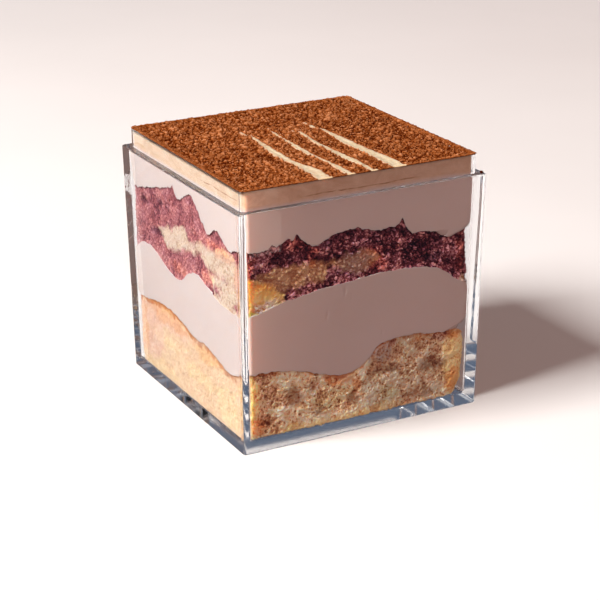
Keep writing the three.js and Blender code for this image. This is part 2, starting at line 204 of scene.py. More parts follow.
SOAKED_SPONGE_SPOTS = {
    # partly painted light: amber crumb, painted as bright as the glow of light that comes through the
    # corner from the left wall
    "amber": [(FRONT, -31.8, 41.0, 4.4, 5.0), (FRONT, -29.2, 39.4, 6.4, 4.2)],
    "rust": [(FRONT, -31.2, 49, 1.6, 3.6), (FRONT, -18.2, 52.4, 3.2, 1.8), (FRONT, 4.5, 43.6, 3.4, 2),
             (FRONT, 3, 47.4, 2.6, 1.2), (FRONT, 29.2, 43, 1.8, 5.5), (FRONT, -14, 48.6, 1.8, 2.2),
             (RIGHT, -22, 44, 4, 4)],
    # painted shade: cave spots lie deeper and are tinted darker, as shade in a hollow
    "cave": [(FRONT, 15.2, 46.6, 2.2, 0.9), (FRONT, 7, 51.8, 2.2, 0.9), (FRONT, -22, 49.4, 3.4, 1),
             (FRONT, -9.8, 51, 1.8, 1.6), (FRONT, -29.7, 48, 0.8, 3), (FRONT, 21, 42.5, 2, 1.4),
             (FRONT, 12, 50.8, 1.6, 1.4), (LEFT, 13.4, 52.4, 1.9, 1.1), (LEFT, 23.5, 50.4, 2, 0.8),
             (LEFT, 15.2, 50, 1.4, 0.6), (LEFT, -3.6, 50.2, 1.6, 0.5), (LEFT, 17, 43.8, 2.4, 0.7),
             (RIGHT, 6, 46, 3, 1.4), (BACK, 8, 51, 3, 1.4)],
    "crumbs": [(FRONT, -27.4, 37.8, 3.6, 1.5), (FRONT, 30.2, 35.4, 1, 0.8)],
    "stain": [(LEFT, -19.2, 39.2, 1.6, 1.1), (LEFT, -16.6, 38, 1.3, 0.6), (LEFT, -21.4, 40, 0.6, 0.5),
              (LEFT, -29.6, 38, 1.4, 0.7), (LEFT, -17.5, 42.8, 3.4, 0.25)],
    "blush": [(LEFT, -22, 49.4, 9, 1.4), (LEFT, -31, 46, 1.6, 5)],
    "salmon": [(LEFT, -13.5, 40.6, 3.4, 2.2), (LEFT, -20, 50.6, 9, 1.0), (LEFT, 3, 37.6, 6, 1.6)],
    "mauve": [(FRONT, -1.5, 44.8, 5, 3.6)],
}

# Streaks of the fork, each as (y, centre x, width) from the front wall back, and oval flecks past
# their ends, each as (x, y, half width, half length)
STREAKS = [
    [(-34, -10.6, 4.2), (-28, -9.7, 3.7), (-23, -9.8, 3.6), (-18, -10.2, 1.8), (-14, -10.7, 2.2),
     (-8, -10.5, 2.6), (0, -9.9, 1.9), (5, -9.2, 1.2), (9, -8.9, 0.7), (11, -8.4, 0.3)],
    [(-34, -3.2, 2.4), (-26, -2.7, 1.8), (-18, -2.9, 1), (-12, -3.3, 1.5), (-5, -3.2, 1.9),
     (0, -2.8, 1.2), (5, -2.5, 0.6), (8, -2.3, 1.0), (12, -1.9, 0.4)],
    [(-34, 3.2, 2.2), (-27, 3.6, 1.4), (-20, 3.3, 2.3), (-10, 3.1, 1.6), (-4, 3, 1.6), (1, 3.5, 1.3),
     (6, 4.1, 1.4), (8, 4.2, 1.0)],
    [(-34, 10.5, 3.8), (-27, 11, 4), (-22, 10.9, 3.6), (-15, 10.6, 2.8), (-7, 10.3, 3), (0, 10.6, 2),
     (5, 10.7, 1.0), (8, 10.6, 0.8)],
]
FLECKS = [(-9.7, 12.6, 0.35, 1.5), (3.2, 9.0, 0.3, 0.8), (4.9, 8.9, 0.3, 0.7), (9.6, 10.6, 0.4, 1.6),
          (9.4, 14.0, 0.25, 1.0), (-1.6, 13.4, 0.2, 0.7)]
# how far the powder has slid back into a streak from either side, and how deep a streak is
STREAK_SPILL = 0.14
STREAK_DEPTH = 1.0

# Cocoa: its own grid, and the lumps that sifting gives it, by their size and their height
COCOA_STEP = 0.235
COCOA_UNDERSIDE = 66.6
COCOA_HALF = 33.2
CLUMP_SIZE, CLUMP_RISE = 1.5, 0.6
GRAIN_SIZE, GRAIN_RISE = 0.7, 0.16
DUNE_SIZE, DUNE_RISE = 8.0, 0.06
DUSTING = 0.05
MOST_FRAYED = 0.003
EDGE_DROP = 0.12
INTO_RIM = 0.03
SIFTED_CLUMPS = 6400
RIM_CLUMPS = 900
LEDGE_SPECKS = 9

# Combed cream: start, end and number of its grid's lines, across the streaks and along them
COMBED_ACROSS = (-14.5, 15.0, 119)
COMBED_ALONG = (0.4 - CAVITY_HALF_AT_RIM, 16.0, 192)

# Bubbles in the cream: side, place, height, radius. Lines that cocoa drew behind the collar: side,
# start, end, height at the start, slope.
BUBBLES = [(FRONT, -5, 38.2, 0.4), (FRONT, -10, 32.6, 0.35), (FRONT, 6, 25.2, 0.3),
           (FRONT, -3, 36.4, 0.22), (LEFT, -9, 30.5, 0.25), (RIGHT, 4, 30, 0.35),
           (RIGHT, -18, 27, 0.3), (BACK, 9, 31, 0.4), (BACK, -15, 27.5, 0.3)]
LINES = [(FRONT, -18.0, 18.0, 64.25, 0.004), (LEFT, -32.5, -8.0, 65.2, -0.012)]

# The photo's camera, solved from twelve corners of the cup: angles in degrees, distances in metres,
# lens and sensor in millimetres
CAMERA_AZIMUTH = -27.985
CAMERA_ELEVATION = 20.838
CAMERA_ROLL = -0.3985
CAMERA_DISTANCE = 0.49783
CAMERA_ASIDE = -0.00004
CAMERA_RAISED = 0.02227
CAMERA_LENS = 110.21
CAMERA_SENSOR = 36
CAMERA_NEAR = 0.01

# Lights: azimuth and elevation in degrees, distance and size in metres, power in watts, and colour
LIGHTS_AIM = Vector((0, 0, 0.035))
KEY_LIGHT = (-90, 45, 1.2, 0.45, 36.3, (1.0, 0.97, 0.94))
FILL_LIGHTS = {
    "front_fill": (0, 22, 1.4, 0.8, 6.85, (1.0, 0.57, 0.48)),
    "back_fill": (135, 25, 1.4, 0.8, 5.8, (1.0, 0.66, 0.62)),
}
WORLD_COLOUR = (1.0, 0.86, 0.82, 1)
WORLD_STRENGTH = 0.16
MOST_BOUNCES = 64
CLEAR_BOUNCES = 48

# Stage: a floor and a dome, and dark cards that show only in what the cup mirrors and refracts
STAGE_FLOOR = -0.1
DOME_COLUMNS = 48
DOME_RISES = (-2, 4, 10, 20, 32, 45, 60, 75, 85)
BACKDROP_RADIUS = 5000.0
BACKDROP_LOW = (0.78, 0.77, 0.77)
BACKDROP_BAND = (0.11, 0.14, 0.20)
BACKDROP_HIGH = (0.36, 0.39, 0.47)
CARD_GLOW = (0.085, 0.105, 0.155)
CARD_NEAR = 36.0
CARD_END = 34.0
CARD_HEIGHT = 66.0
CARD_UNDER_CUP = -0.05
LEFT_CARD_FAR = 80.0
FRONT_CARD_FAR = 160.0
FRONT_CARD_LEFT = 240.0


# -------- noise


def cell_values(cells, seed):
    """Three numbers from 0 to 1 for each lattice cell, the same on every run."""
    c = cells.astype(np.int64).astype(np.uint32)
    mixed = c[..., 0] * np.uint32(73856093)
    mixed ^= c[..., 1] * np.uint32(19349663)
    mixed ^= c[..., 2] * np.uint32(83492791)
    mixed ^= np.uint32(seed * 7919 + 12345)
    values = []
    for _ in range(3):
        mixed ^= mixed >> np.uint32(15)
        mixed = mixed * np.uint32(2246822519)
        mixed ^= mixed >> np.uint32(13)
        mixed = mixed * np.uint32(3266489917)
        mixed ^= mixed >> np.uint32(16)
        values.append(mixed / 4294967296.0)
    return np.stack(values, -1)


def soft_noise(points, size, seed):
    """Smooth noise from -1 to 1 with lumps about `size` across."""
    p = points / size
    low = np.floor(p)
    t = p - low
    t = t * t * (3 - 2 * t)
    total = np.zeros(points.shape[:-1])
    for step in product((0, 1), repeat=3):
        share = np.prod(np.where(np.array(step) == 1, t, 1 - t), -1)
        total += share * cell_values(low + step, seed)[..., 0]
    return 2 * total - 1


def layered_noise(points, size, seed, octaves=3):
    """Noise from -1 to 1 of several sizes, each half as large and half as strong as the last."""
    total, weight = np.zeros(points.shape[:-1]), 0.0
    for octave in range(octaves):
        share = 0.5**octave
        total += share * soft_noise(points, size * share, seed + octave)
        weight += share
    return total / weight


def bent(points, amount, size, seed):
    """The points moved about by noise, so that what is made from them loses its regular look."""
    moves = [soft_noise(points, size, seed + axis) for axis in range(3)]
    return points + amount * np.stack(moves, -1)


def smooth_step(low, high, x):
    """From 0 where x is low to 1 where it is high."""
    t = np.clip((x - low) / (high - low), 0, 1)
    return t * t * (3 - 2 * t)


def cracked_cells(points, size, seed, crack, least):
    """Lumps with cracks between them, each round one of the points scattered one to a lattice cell:
    0 in a crack, and inside a lump its own random value from `least` to 1."""
    p = points / size
    low = np.floor(p)
    first = np.full(points.shape[:-1], 9.0)
    second = first.copy()
    own = np.zeros(points.shape[:-1])
    for step in product((-1, 0, 1), repeat=3):
        cell = low + step
        values = cell_values(cell, seed)
        away = np.linalg.norm(cell + values - p, axis=-1)
        closer = away < first
        second = np.where(closer, first, np.minimum(second, away))
        own = np.where(closer, values[..., 0], own)
        first = np.where(closer, away, first)
    return smooth_step(0.0, crack, second - first) * (least + (1 - least) * own)


def flat_points(x, y, z=0.0):
    """Points (…, 3) from their coordinates."""
    return np.stack(np.broadcast_arrays(x, y, z), -1).astype(float)


def off_middle(x, y):
    """How far (x, y) is from the cup's middle, measured towards its walls."""
    return np.maximum(np.abs(x), np.abs(y))


# -------- interfaces


def cavity_half(z):
    """Half the width inside the cup at height z."""
    rise = (z - FLOOR_HEIGHT) / (CUP_HEIGHT - FLOOR_HEIGHT)
    return CAVITY_HALF_AT_FLOOR + (CAVITY_HALF_AT_RIM - CAVITY_HALF_AT_FLOOR) * rise


def along(knots, place):
    """Smooth value between knots (place, value), with slopes from each knot's neighbours."""
    xs = np.array([k[0] for k in knots], float)
    zs = np.array([k[1] for k in knots], float)
    before = np.maximum(np.arange(len(xs)) - 1, 0)
    after = np.minimum(np.arange(len(xs)) + 1, len(xs) - 1)
    slopes = (zs[after] - zs[before]) / (xs[after] - xs[before])
    i = np.clip(np.searchsorted(xs, place) - 1, 0, len(xs) - 2)
    span = xs[i + 1] - xs[i]
    t = np.clip((place - xs[i]) / span, 0, 1)
    rise = zs[i] + (zs[i + 1] - zs[i]) * t * t * (3 - 2 * t)
    start = t * (1 - t) ** 2 * span * slopes[i]
    end = t * t * (t - 1) * span * slopes[i + 1]
    return rise + start + end


def waves(x, y):
    """The gentle swell inside a layer."""
    coarse = np.sin(0.42 * x + 0.9) * np.cos(0.37 * y - 0.4)
    fine = np.sin(0.83 * x - 0.55 * y + 2.1)
    return coarse + 0.6 * fine


def tip_height(tips, x, y):
    """Height of the torn tips, which stand close to the walls."""
    total = np.zeros(np.broadcast(x, y).shape)
    outwards = {FRONT: -y, BACK: y, LEFT: -x, RIGHT: x}
    place = {FRONT: x, BACK: x, LEFT: y, RIGHT: y}
    for side, where, height, half_width in tips:
        close = smooth_step(*TIPS_RISE, outwards[side])
        lean = (place[side] - where) / half_width
        total += height * close * np.clip(1 - np.abs(lean), 0, 1) ** np.where(lean < 0, 1.2, 0.8)
    return total


def height_of(sheet, seed):
    """An interface's height at (x, y): four wall profiles blended, with waves, rags and tips."""
    reach = PROFILE_REACH

    def height(x, y):
        s = np.clip((x + reach) / (2 * reach), 0, 1)
        t = np.clip((y + reach) / (2 * reach), 0, 1)
        across_y = (1 - t) * along(sheet["front"], x) + t * along(sheet["back"], x)
        across_x = (1 - s) * along(sheet["left"], y) + s * along(sheet["right"], y)
        low = (1 - s) * sheet["front"][0][1] + s * sheet["front"][-1][1]
        high = (1 - s) * sheet["back"][0][1] + s * sheet["back"][-1][1]
        smooth = across_y + across_x - (1 - t) * low - t * high
        inner = smooth_step(0, SWELL_MARGIN, reach - off_middle(x, y))
        rags = layered_noise(flat_points(x, y), RAG_SIZE, seed, 4)
        return (smooth + sheet["swell"] * inner * waves(x, y) + sheet["ragged"] * rags
                + tip_height(sheet.get("tips", ()), x, y))

    return height


base_top = height_of(BASE_SPONGE_TOP, 11)
lower_cream_top = height_of(LOWER_CREAM_TOP, 23)
soaked_top = height_of(SOAKED_SPONGE_TOP, 37)


def sponge_floor(x, y):
    return np.full(np.broadcast(x, y).shape, FLOOR_HEIGHT + UNDER_SPONGE)


def upper_cream_top(x, y):
    """Level, with a rim that was left standing where the cream was struck off along the walls."""
    return CREAM_TOP + (CREAM_RIM - CREAM_TOP) * smooth_step(*CREAM_RISE, off_middle(x, y))


# -------- mesh making


def make_mesh(name, points, quads, triangles=(), attributes=None, sharp_angle=None):
    """A mesh object from millimetre points, with its point attributes."""
    mesh = bpy.data.meshes.new(name)
    quads = np.asarray(quads, np.int32).reshape(-1, 4)
    triangles = np.asarray(triangles, np.int32).reshape(-1, 3)
    mesh.vertices.add(len(points))
    mesh.vertices.foreach_set("co", (np.asarray(points) * MM).astype(np.float32).ravel())
    corners = np.concatenate([quads.ravel(), triangles.ravel()])
    mesh.loops.add(len(corners))
    mesh.loops.foreach_set("vertex_index", corners)
    sizes = np.concatenate([np.full(len(quads), 4), np.full(len(triangles), 3)])
    starts = np.concatenate([[0], np.cumsum(sizes)[:-1]]).astype(np.int32)
    mesh.polygons.add(len(sizes))
    mesh.polygons.foreach_set("loop_start", starts)
    mesh.polygons.foreach_set("use_smooth", np.ones(len(sizes), bool))
    mesh.update(calc_edges=True)
    mesh.validate()
    for key, values in (attributes or {}).items():
        layer = mesh.attributes.new(key, "FLOAT", "POINT")
        layer.data.foreach_set("value", np.asarray(values, np.float32).ravel())
    if sharp_angle is not None:
        mesh.set_sharp_from_angle(angle=math.radians(sharp_angle))
    piece = bpy.data.objects.new(name, mesh)
    bpy.context.scene.collection.objects.link(piece)
    return piece


def band_quads(rows, columns):
    """Quads between successive rings of `columns` points, wound so that they face outwards."""
    j = np.arange(columns)
    after = (j + 1) % columns
    r = np.arange(rows - 1)[:, None] * columns
    return np.stack([r + j, r + after, r + columns + after, r + columns + j], -1).reshape(-1, 4)


def fan(centre, start, columns, upwards):
    """Triangles from the point `centre` to the ring of `columns` points from `start` on."""
    j = np.arange(columns)
    after = (j + 1) % columns
    a, b = (j, after) if upwards else (after, j)
    return np.stack([np.full(columns, centre), start + a, start + b], -1)


def stack_of_rings(name, rings, attributes=None, sharp_angle=None):
    """A closed mesh from rings of points, from the lowest middle round the outside to the top."""
    rows, columns = rings.shape[:2]
    points = np.concatenate([rings.reshape(-1, 3), [rings[0].mean(0), rings[-1].mean(0)]])
    count = rows * columns
    caps = [fan(count, 0, columns, False), fan(count + 1, count - columns, columns, True)]
    values = {
        key: np.append(value.ravel(), [value[0].mean(), value[-1].mean()])
        for key, value in (attributes or {}).items()
    }
    return make_mesh(name, points, band_quads(rows, columns), np.concatenate(caps), values,
                     sharp_angle)


def wall_columns():
    """Columns round the cup, counter-clockwise from the front wall's left end: each one's place
    on a square of half size 1, the way it faces, its side, and its share of the way along it."""
    sides = [((1, 0), (0, -1)), ((0, 1), (1, 0)), ((-1, 0), (0, 1)), ((0, -1), (-1, 0))]
    straight = round(2 * CAVITY_HALF_AT_RIM / COLUMN_STEP)
    core, facing, side, share = [], [], [], []
    for number, (way, out) in enumerate(sides):
        way, out = np.array(way, float), np.array(out, float)
        for s in np.linspace(-1, 1, straight):
            core.append(way * s + out)
            facing.append(out)
            side.append(number)
            share.append(s)
        for step in range(1, CORNER_COLUMNS):
            angle = math.pi / 2 * step / CORNER_COLUMNS
            core.append(way + out)
            facing.append(math.cos(angle) * out + math.sin(angle) * way)
            side.append(number if step <= CORNER_COLUMNS // 2 else (number + 1) % 4)
            share.append(1.0 if step <= CORNER_COLUMNS // 2 else -1.0)
    return np.array(core), np.array(facing), np.array(side), np.array(share)


CORE, FACING, SIDE, SHARE = wall_columns()
COLUMNS = len(CORE)


def corner_radius(corners, z):
    """The rounding for each point at heights z (rows, columns), from its wall's two corners."""
    names = ("front right", "back right", "back left", "front left")
    ends = np.stack([np.interp(z, *zip(*corners.get(name, SNUG_CORNER))) for name in names])
    first = np.take_along_axis(ends, np.broadcast_to((SIDE - 1) % 4, z.shape)[None], 0)[0]
    last = np.take_along_axis(ends, np.broadcast_to(SIDE, z.shape)[None], 0)[0]
    return first * (1 - SHARE) / 2 + last * (1 + SHARE) / 2


def skin(z, corners, reach):
    """Points (rows, columns, 2) against the wall at heights z, `reach` millimetres into it."""
    half = cavity_half(z)[..., None]
    radius = corner_radius(corners, z)[..., None]
    return (half - radius) * CORE + (radius + reach) * FACING


def edge_height(height, corners, guess):
    """An interface's height along the wall, where the layer's corners depend on that height."""
    z = np.full((1, COLUMNS), float(guess))
    for _ in range(3):
        flat = skin(z, corners, 0.0)
        z = height(flat[..., 0], flat[..., 1])
    return z[0]


def row_heights(low, high, step):
    """Heights (rows, columns) from low to high, closer together along both edges."""
    edge = EDGE_ROWS[-1]
    inner = round(float(np.max(high - low - 2 * edge)) / step)
    below = [low + e for e in EDGE_ROWS[:-1]]
    middle = [low + edge + (high - low - 2 * edge) * t for t in np.linspace(0, 1, inner)]
    above = [high - e for e in reversed(EDGE_ROWS[:-1])]
    return np.array(below + middle + above)


def cap_rings(ring, height):
    """Rings inside a layer's outermost ring, at the heights of its face."""
    rings = []
    for scale in CAP_SCALES:
        x, y = ring[:, 0] * scale, ring[:, 1] * scale
        rings.append(flat_points(x, y, height(x, y)))
    return np.array(rings)


def layer_mesh(name, bottom, top, corners, row_step, relief, overlap=0.0, sharp_angle=None):
    """A layer of the food between two heights, pressed against the walls, with relief on its side:
    relief(points, below_top, above_bottom) gives the depth of its pits and its attributes."""
    low = edge_height(bottom, corners, guess=20) - overlap
    high = edge_height(top, corners, guess=50) + overlap
    z = row_heights(low, high, row_step)
    flat = skin(z, corners, by_side(-FILM, -FILM, REACH, -FILM)[:, None])
    points = np.concatenate([flat, z[..., None]], -1)
    depth, attributes = relief(points, high - z, z - low)
    points[..., :2] -= FACING * depth[..., None]
    lower = cap_rings(points[0], lambda x, y: bottom(x, y) - overlap)[::-1]
    upper = cap_rings(points[-1], lambda x, y: top(x, y) + overlap)
    # a face's rings have the values of its edge
    rows = np.clip(np.arange(-len(lower), len(z) + len(upper)), 0, len(z) - 1)
    values = {key: np.broadcast_to(value, z.shape)[rows] for key, value in attributes.items()}
    return stack_of_rings(name, np.concatenate([lower, points, upper]), values, sharp_angle)


# -------- food against the walls


def wall_place(points):
    """Each point's place along its own wall."""
    return np.where((SIDE == FRONT) | (SIDE == BACK), points[..., 0], points[..., 1])


def field_mask(fields, points, rag):
    """From 0 to 1 inside any of the fields, whose edges are moved by rag."""
    place, z = wall_place(points), points[..., 2]
    mask = np.zeros(z.shape)
    for side, lower, upper in fields:
        inside = np.minimum(z - np.interp(place, *zip(*lower)), np.interp(place, *zip(*upper)) - z)
        ends = np.minimum(place - lower[0][0], lower[-1][0] - place)
        inside = np.minimum(inside, ends) + rag
        mask = np.maximum(mask, (SIDE == side) * smooth_step(-1.8, 2.2, inside))
    return mask


def spot_mask(spots, points, rag):
    """From 0 to 1 inside any of the oval spots, whose edges are moved by rag."""
    place, z = wall_place(points), points[..., 2]
    mask = np.zeros(z.shape)
    for side, u, v, half_u, half_v in spots:
        away = np.hypot((place - u) / half_u, (z - v) / half_v)
        inside = (1 - away) * min(half_u, half_v) + rag
        mask = np.maximum(mask, (SIDE == side) * smooth_step(-1.5, 1.6, inside))
    return mask


def by_side(front, right, back, left):
    """A value for each column, by its wall."""
    return np.array([front, right, back, left], float)[SIDE]


def crumb(points, size, seed):
    """How deep a torn sponge lies at each point, from 0 on its threads to 1 in its caves."""
    moved = bent(points, 0.6 * size, 0.9 * size, seed)
    finely_moved = bent(points, 0.2, 0.4, seed + 30)
    cells = cracked_cells(moved, size, seed + 4, crack=0.4, least=0.3)
    pores = cracked_cells(finely_moved, 0.55 * size, seed + 8, crack=0.5, least=0.0)
    hollows = smooth_step(-0.5, 0.5, layered_noise(moved, 3.0 * size, seed + 12))
    return np.clip(0.46 * cells + 0.34 * pores + 0.72 * hollows - 0.08, 0, 1)


def grains(points, size, seed):
    """How deep wet, clumped crumbs lie at each point: 0 on top of a clump, 1 in the gaps."""
    moved = bent(points, 0.35 * size, 0.8 * size, seed)
    finely_moved = bent(points, 0.15, 0.4, seed + 30)
    clumps = cracked_cells(moved, size, seed + 4, crack=0.45, least=0.2)
    grain = cracked_cells(finely_moved, 0.5 * size, seed + 8, crack=0.5, least=0.3)
    lie = smooth_step(-0.5, 0.5, layered_noise(moved, 2.6 * size, seed + 12))
    return np.clip(1.02 - 0.62 * clumps - 0.32 * grain - 0.52 * lie, 0, 1)


def at_edges(below_top, above_bottom, width):
    """From 0 where a layer meets the next one to 1 well inside it."""
    return smooth_step(0.0, width, below_top) * smooth_step(0.0, width, above_bottom)


def near_lit_corner(points):
    """From 0 to 1 along the front wall towards its left end, where light comes in from both sides."""
    fade = 8.0
    return (SIDE == FRONT) * np.exp(-(points[..., 0] + CAVITY_HALF_AT_FLOOR) / fade).clip(0, 1)


def edge_rounding(above_bottom, radius):
    """How far a rounded lower edge draws back from the wall."""
    t = np.clip(1 - above_bottom / radius, 0, 1)
    return radius * (1 - np.sqrt(np.clip(1 - t * t, 0, 1)))


def base_sponge_relief(points, below_top, above_bottom):
    """Torn crumb on the front, smoother elsewhere, under a baked crust."""
    torn = crumb(points, 1.25, 101)
    rag = 1.6 * layered_noise(points, 2.4, 131, 4)
    zones = {key: spot_mask(spots, points, rag) for key, spots in BASE_SPONGE_SPOTS.items()}
    rough = by_side(1.0, 0.8, 0.9, 0.3) * (1 - 0.5 * zones["golden"]) + 0.6 * zones["cave"]
    rough *= 0.8 * at_edges(below_top, above_bottom + 1.0, 0.6)
    depth = BEHIND_CREAM + rough * torn + edge_rounding(above_bottom, 0.6)
    streaky = layered_noise(points * (1, 1, 2.2), 2.6, 151)
    ragged = layered_noise(points, 1.3, 181)
    crust = 1 - smooth_step(0.2, by_side(1.7, 1.7, 1.7, 2.4), below_top + 1.1 * streaky + ragged)
    baked = layered_noise(points, 7.0, 161, 2)
    for place, strength in ((11, 0.9), (-2, 0.5)):
        away = (wall_place(points) - place) / 5
        baked += strength * np.exp(-(away**2)) * (SIDE == LEFT)
    flecks = smooth_step(0.45, 0.7, layered_noise(points, 0.9, 171, 2)) * crust
    # pit also sets the shade that the material paints into the pits
    return depth, {
        "pit": torn, "crust": crust, "baked": crust * smooth_step(-0.1, 0.5, baked),
        "flecks": flecks, "fine": by_side(0.0, 0.45, 0.2, 1.0), "lit": near_lit_corner(points),
        **zones,
    }


def soaked_sponge_relief(points, below_top, above_bottom):
    """Clumped wet crumb, which is smoother where it stayed dry and pale."""
    torn = grains(points, 1.2, 211)
    rag = 2.0 * layered_noise(points, 2.2, 241, 5)
    zones = {key: spot_mask(spots, points, 0.7 * rag)
             for key, spots in SOAKED_SPONGE_SPOTS.items()}
    fields = {key: field_mask(fields, points, rag) for key, fields in SOAKED_SPONGE_FIELDS.items()}
    fields["pale"] = fields["pale"] * (1 - zones.pop("stain"))
    smooth = np.maximum(zones["amber"], fields["pale"])
    rough = by_side(1.0, 0.8, 0.9, 0.4) * (1 - 0.5 * smooth) + 0.6 * zones["cave"]
    depth = BEHIND_CREAM + rough * at_edges(below_top, above_bottom, 0.6) * torn
    edge = 1 - smooth_step(0.1, 0.7, below_top + 0.4 * rag)
    # pit also sets the shade that the material paints into the gaps
    return depth, {
        "pit": torn, "edge": edge, "fine": by_side(0.0, 0.4, 0.2, 1.0),
        "lit": near_lit_corner(points), **zones, **fields,
    }


def cream_relief(bubbles, lines):
    """Relief of smooth cream: flat against the wall but for a few bubbles. Its attributes say where
    cocoa drew thin lines behind the collar, and how far above its line each point is."""

    def relief(points, below_top, above_bottom):
        place, z = wall_place(points), points[..., 2]
        depth, line, off_line = np.zeros((3, *z.shape))
        for side, u, v, radius in bubbles:
            away = np.hypot(place - u, z - v) / radius
            depth += (SIDE == side) * 0.6 * radius * np.clip(1 - away**2, 0, 1)
        for side, start, end, height, slope in lines:
            inside = smooth_step(start, start + 5, place) * (1 - smooth_step(end - 5, end, place))
            line += (SIDE == side) * inside
            off_line += (SIDE == side) * (z - height - slope * (place - start))
        return depth, {
            "line": line, "off_line": off_line, "lit": near_lit_corner(points),
            "behind_collar": smooth_step(LEDGE_HEIGHT + 0.1, LEDGE_HEIGHT + 0.7, z),
        }

    return relief


# -------- top


def streak_gap(x, y):
    """How far (x, y) is from the nearest streak's edge: below 0 inside it."""
    gap = np.full(np.broadcast(x, y).shape, 99.0)
    for stations in STREAKS:
        centre = along([(s[0], s[1]) for s in stations], y)
        width = along([(s[0], s[2]) for s in stations], y)
        beyond = np.clip(y - stations[-1][0], 0, None)
        gap = np.minimum(gap, np.abs(x - centre) - width / 2 + STREAK_SPILL + 1.5 * beyond)
    for u, v, half_u, half_v in FLECKS:
        away = np.hypot((x - u) / half_u, (y - v) / half_v)
        gap = np.minimum(gap, (away - 1) * half_u)
    return gap + 0.34 * layered_noise(flat_points(x, y), 1.2, 401, 4)


def square_to_rounded(u, v, half, radius):
    """Moves a square grid's points in its corners onto a rounded square."""
    core = half - radius
    a, b = (np.clip(np.abs(w) - core, 0, None) for w in (u, v))
    in_corner = (a > 0) & (b > 0)
    shrink = np.maximum(a, b) / np.maximum(np.hypot(a, b), 1e-9)
    return (np.sign(w) * np.where(in_corner, core + past * shrink, np.abs(w))
            for w, past in ((u, a), (v, b)))


def sheet_mesh(name, x, y, z, edge_z, shelf, bottom, attributes):
    """A closed slab from a grid of top points. Its edge goes down to edge_z, its underside goes in
    level to `shelf` of its size, and from there it drops to a flat bottom."""
    rows, columns = z.shape
    top = np.stack([x, y, z], -1).reshape(-1, 3)
    index = np.arange(rows * columns).reshape(rows, columns)
    quads = np.stack([index[:-1, :-1], index[:-1, 1:], index[1:, 1:], index[1:, :-1]], -1)
    rim = np.concatenate([index[0, :-1], index[:-1, -1], index[-1, :0:-1], index[:0:-1, 0]])
    middle = top.mean(0)
    edge = top[rim].copy()
    edge[:, 2] = edge_z
    inner = middle + (edge - middle) * shelf
    inner[:, 2] = edge_z
    foot = middle + (edge - middle) * shelf * 0.99
    foot[:, 2] = bottom
    n = len(rim)
    sides = band_quads(3, n) + len(top)
    j = np.arange(n)
    after = (j + 1) % n
    skirt = np.stack([len(top) + 2 * n + j, len(top) + 2 * n + after, rim[after], rim[j]], -1)
    centre = np.array([[middle[0], middle[1], bottom]])
    floor = fan(len(top) + 3 * n, len(top), n, False)
    values = {
        key: np.concatenate([value.ravel(), np.tile(value.ravel()[rim], 3), [value.mean()]])
        for key, value in attributes.items()
    }
    return make_mesh(name, np.concatenate([top, foot, inner, edge, centre]),
                     np.concatenate([quads.reshape(-1, 4), sides, skirt]), floor, values)


def over_rim(x, y):
    """From 0 inside the cup to 1 from just inside its rim outwards."""
    return smooth_step(*OVER_RIM, off_middle(x, y))


def cocoa_height(x, y):
    """Top of the powder: sifted clumps with cracks between them, ploughed aside by the streaks."""
    points = flat_points(x, y)
    moved, finely_moved = bent(points, 0.42, 0.9, 421), bent(points, 0.15, 0.4, 425)
    clumps = cracked_cells(moved, CLUMP_SIZE, 431, crack=0.5, least=0.35)
    grain = cracked_cells(finely_moved, GRAIN_SIZE, 441, crack=0.5, least=0.3)
    dunes = layered_noise(points, DUNE_SIZE, 451, 2)
    cracks = COCOA_TOP - CLUMP_RISE - GRAIN_RISE
    height = cracks + CLUMP_RISE * clumps + GRAIN_RISE * grain + DUNE_RISE * dunes
    gap = streak_gap(x, y)
    height += 0.12 * np.exp(-(((gap - 0.45) / 0.4) ** 2))
    inside = 1 - smooth_step(-0.12, 0.2, gap)
    height = np.minimum(height, COCOA_TOP) - STREAK_DEPTH * inside
    least = CUP_HEIGHT + DUSTING
    on_rim = least + (COCOA_TOP - least) * clumps * (1 - inside)
    return height + (np.maximum(height, on_rim) - height) * over_rim(x, y)


def cocoa_powder():
    """The powder, which also lies on the cup's rim. Where a streak meets the rim, it is smeared.
    Its outer edge is frayed, and inside the cup it reaches just into the walls."""
    line = np.linspace(-COCOA_HALF, COCOA_HALF, round(2 * COCOA_HALF / COCOA_STEP) + 1)
    x, y = square_to_rounded(*np.meshgrid(line, line), COCOA_HALF, CAVITY_CORNER_RADIUS)
    z = cocoa_height(x, y)
    out = off_middle(x, y)
    smear = smooth_step(*SMEARED, out) * (1 - smooth_step(-0.1, 0.25, streak_gap(x, y)))
    fray = 0.5 + 0.5 * layered_noise(flat_points(x, y), 1.1, 461)
    frayed = 1 - MOST_FRAYED * smooth_step(*FRAYED, out) * fray
    return sheet_mesh("cocoa_powder", x * frayed, y * frayed, z, CUP_HEIGHT - EDGE_DROP,
                      (CAVITY_HALF_AT_RIM + INTO_RIM) / COCOA_HALF, COCOA_UNDERSIDE,
                      # hollow: depth below the top, more on the rim, which the material paints as
                      # shade
                      {"hollow": COCOA_TOP - z + 0.3 * over_rim(x, y), "smear": smear})


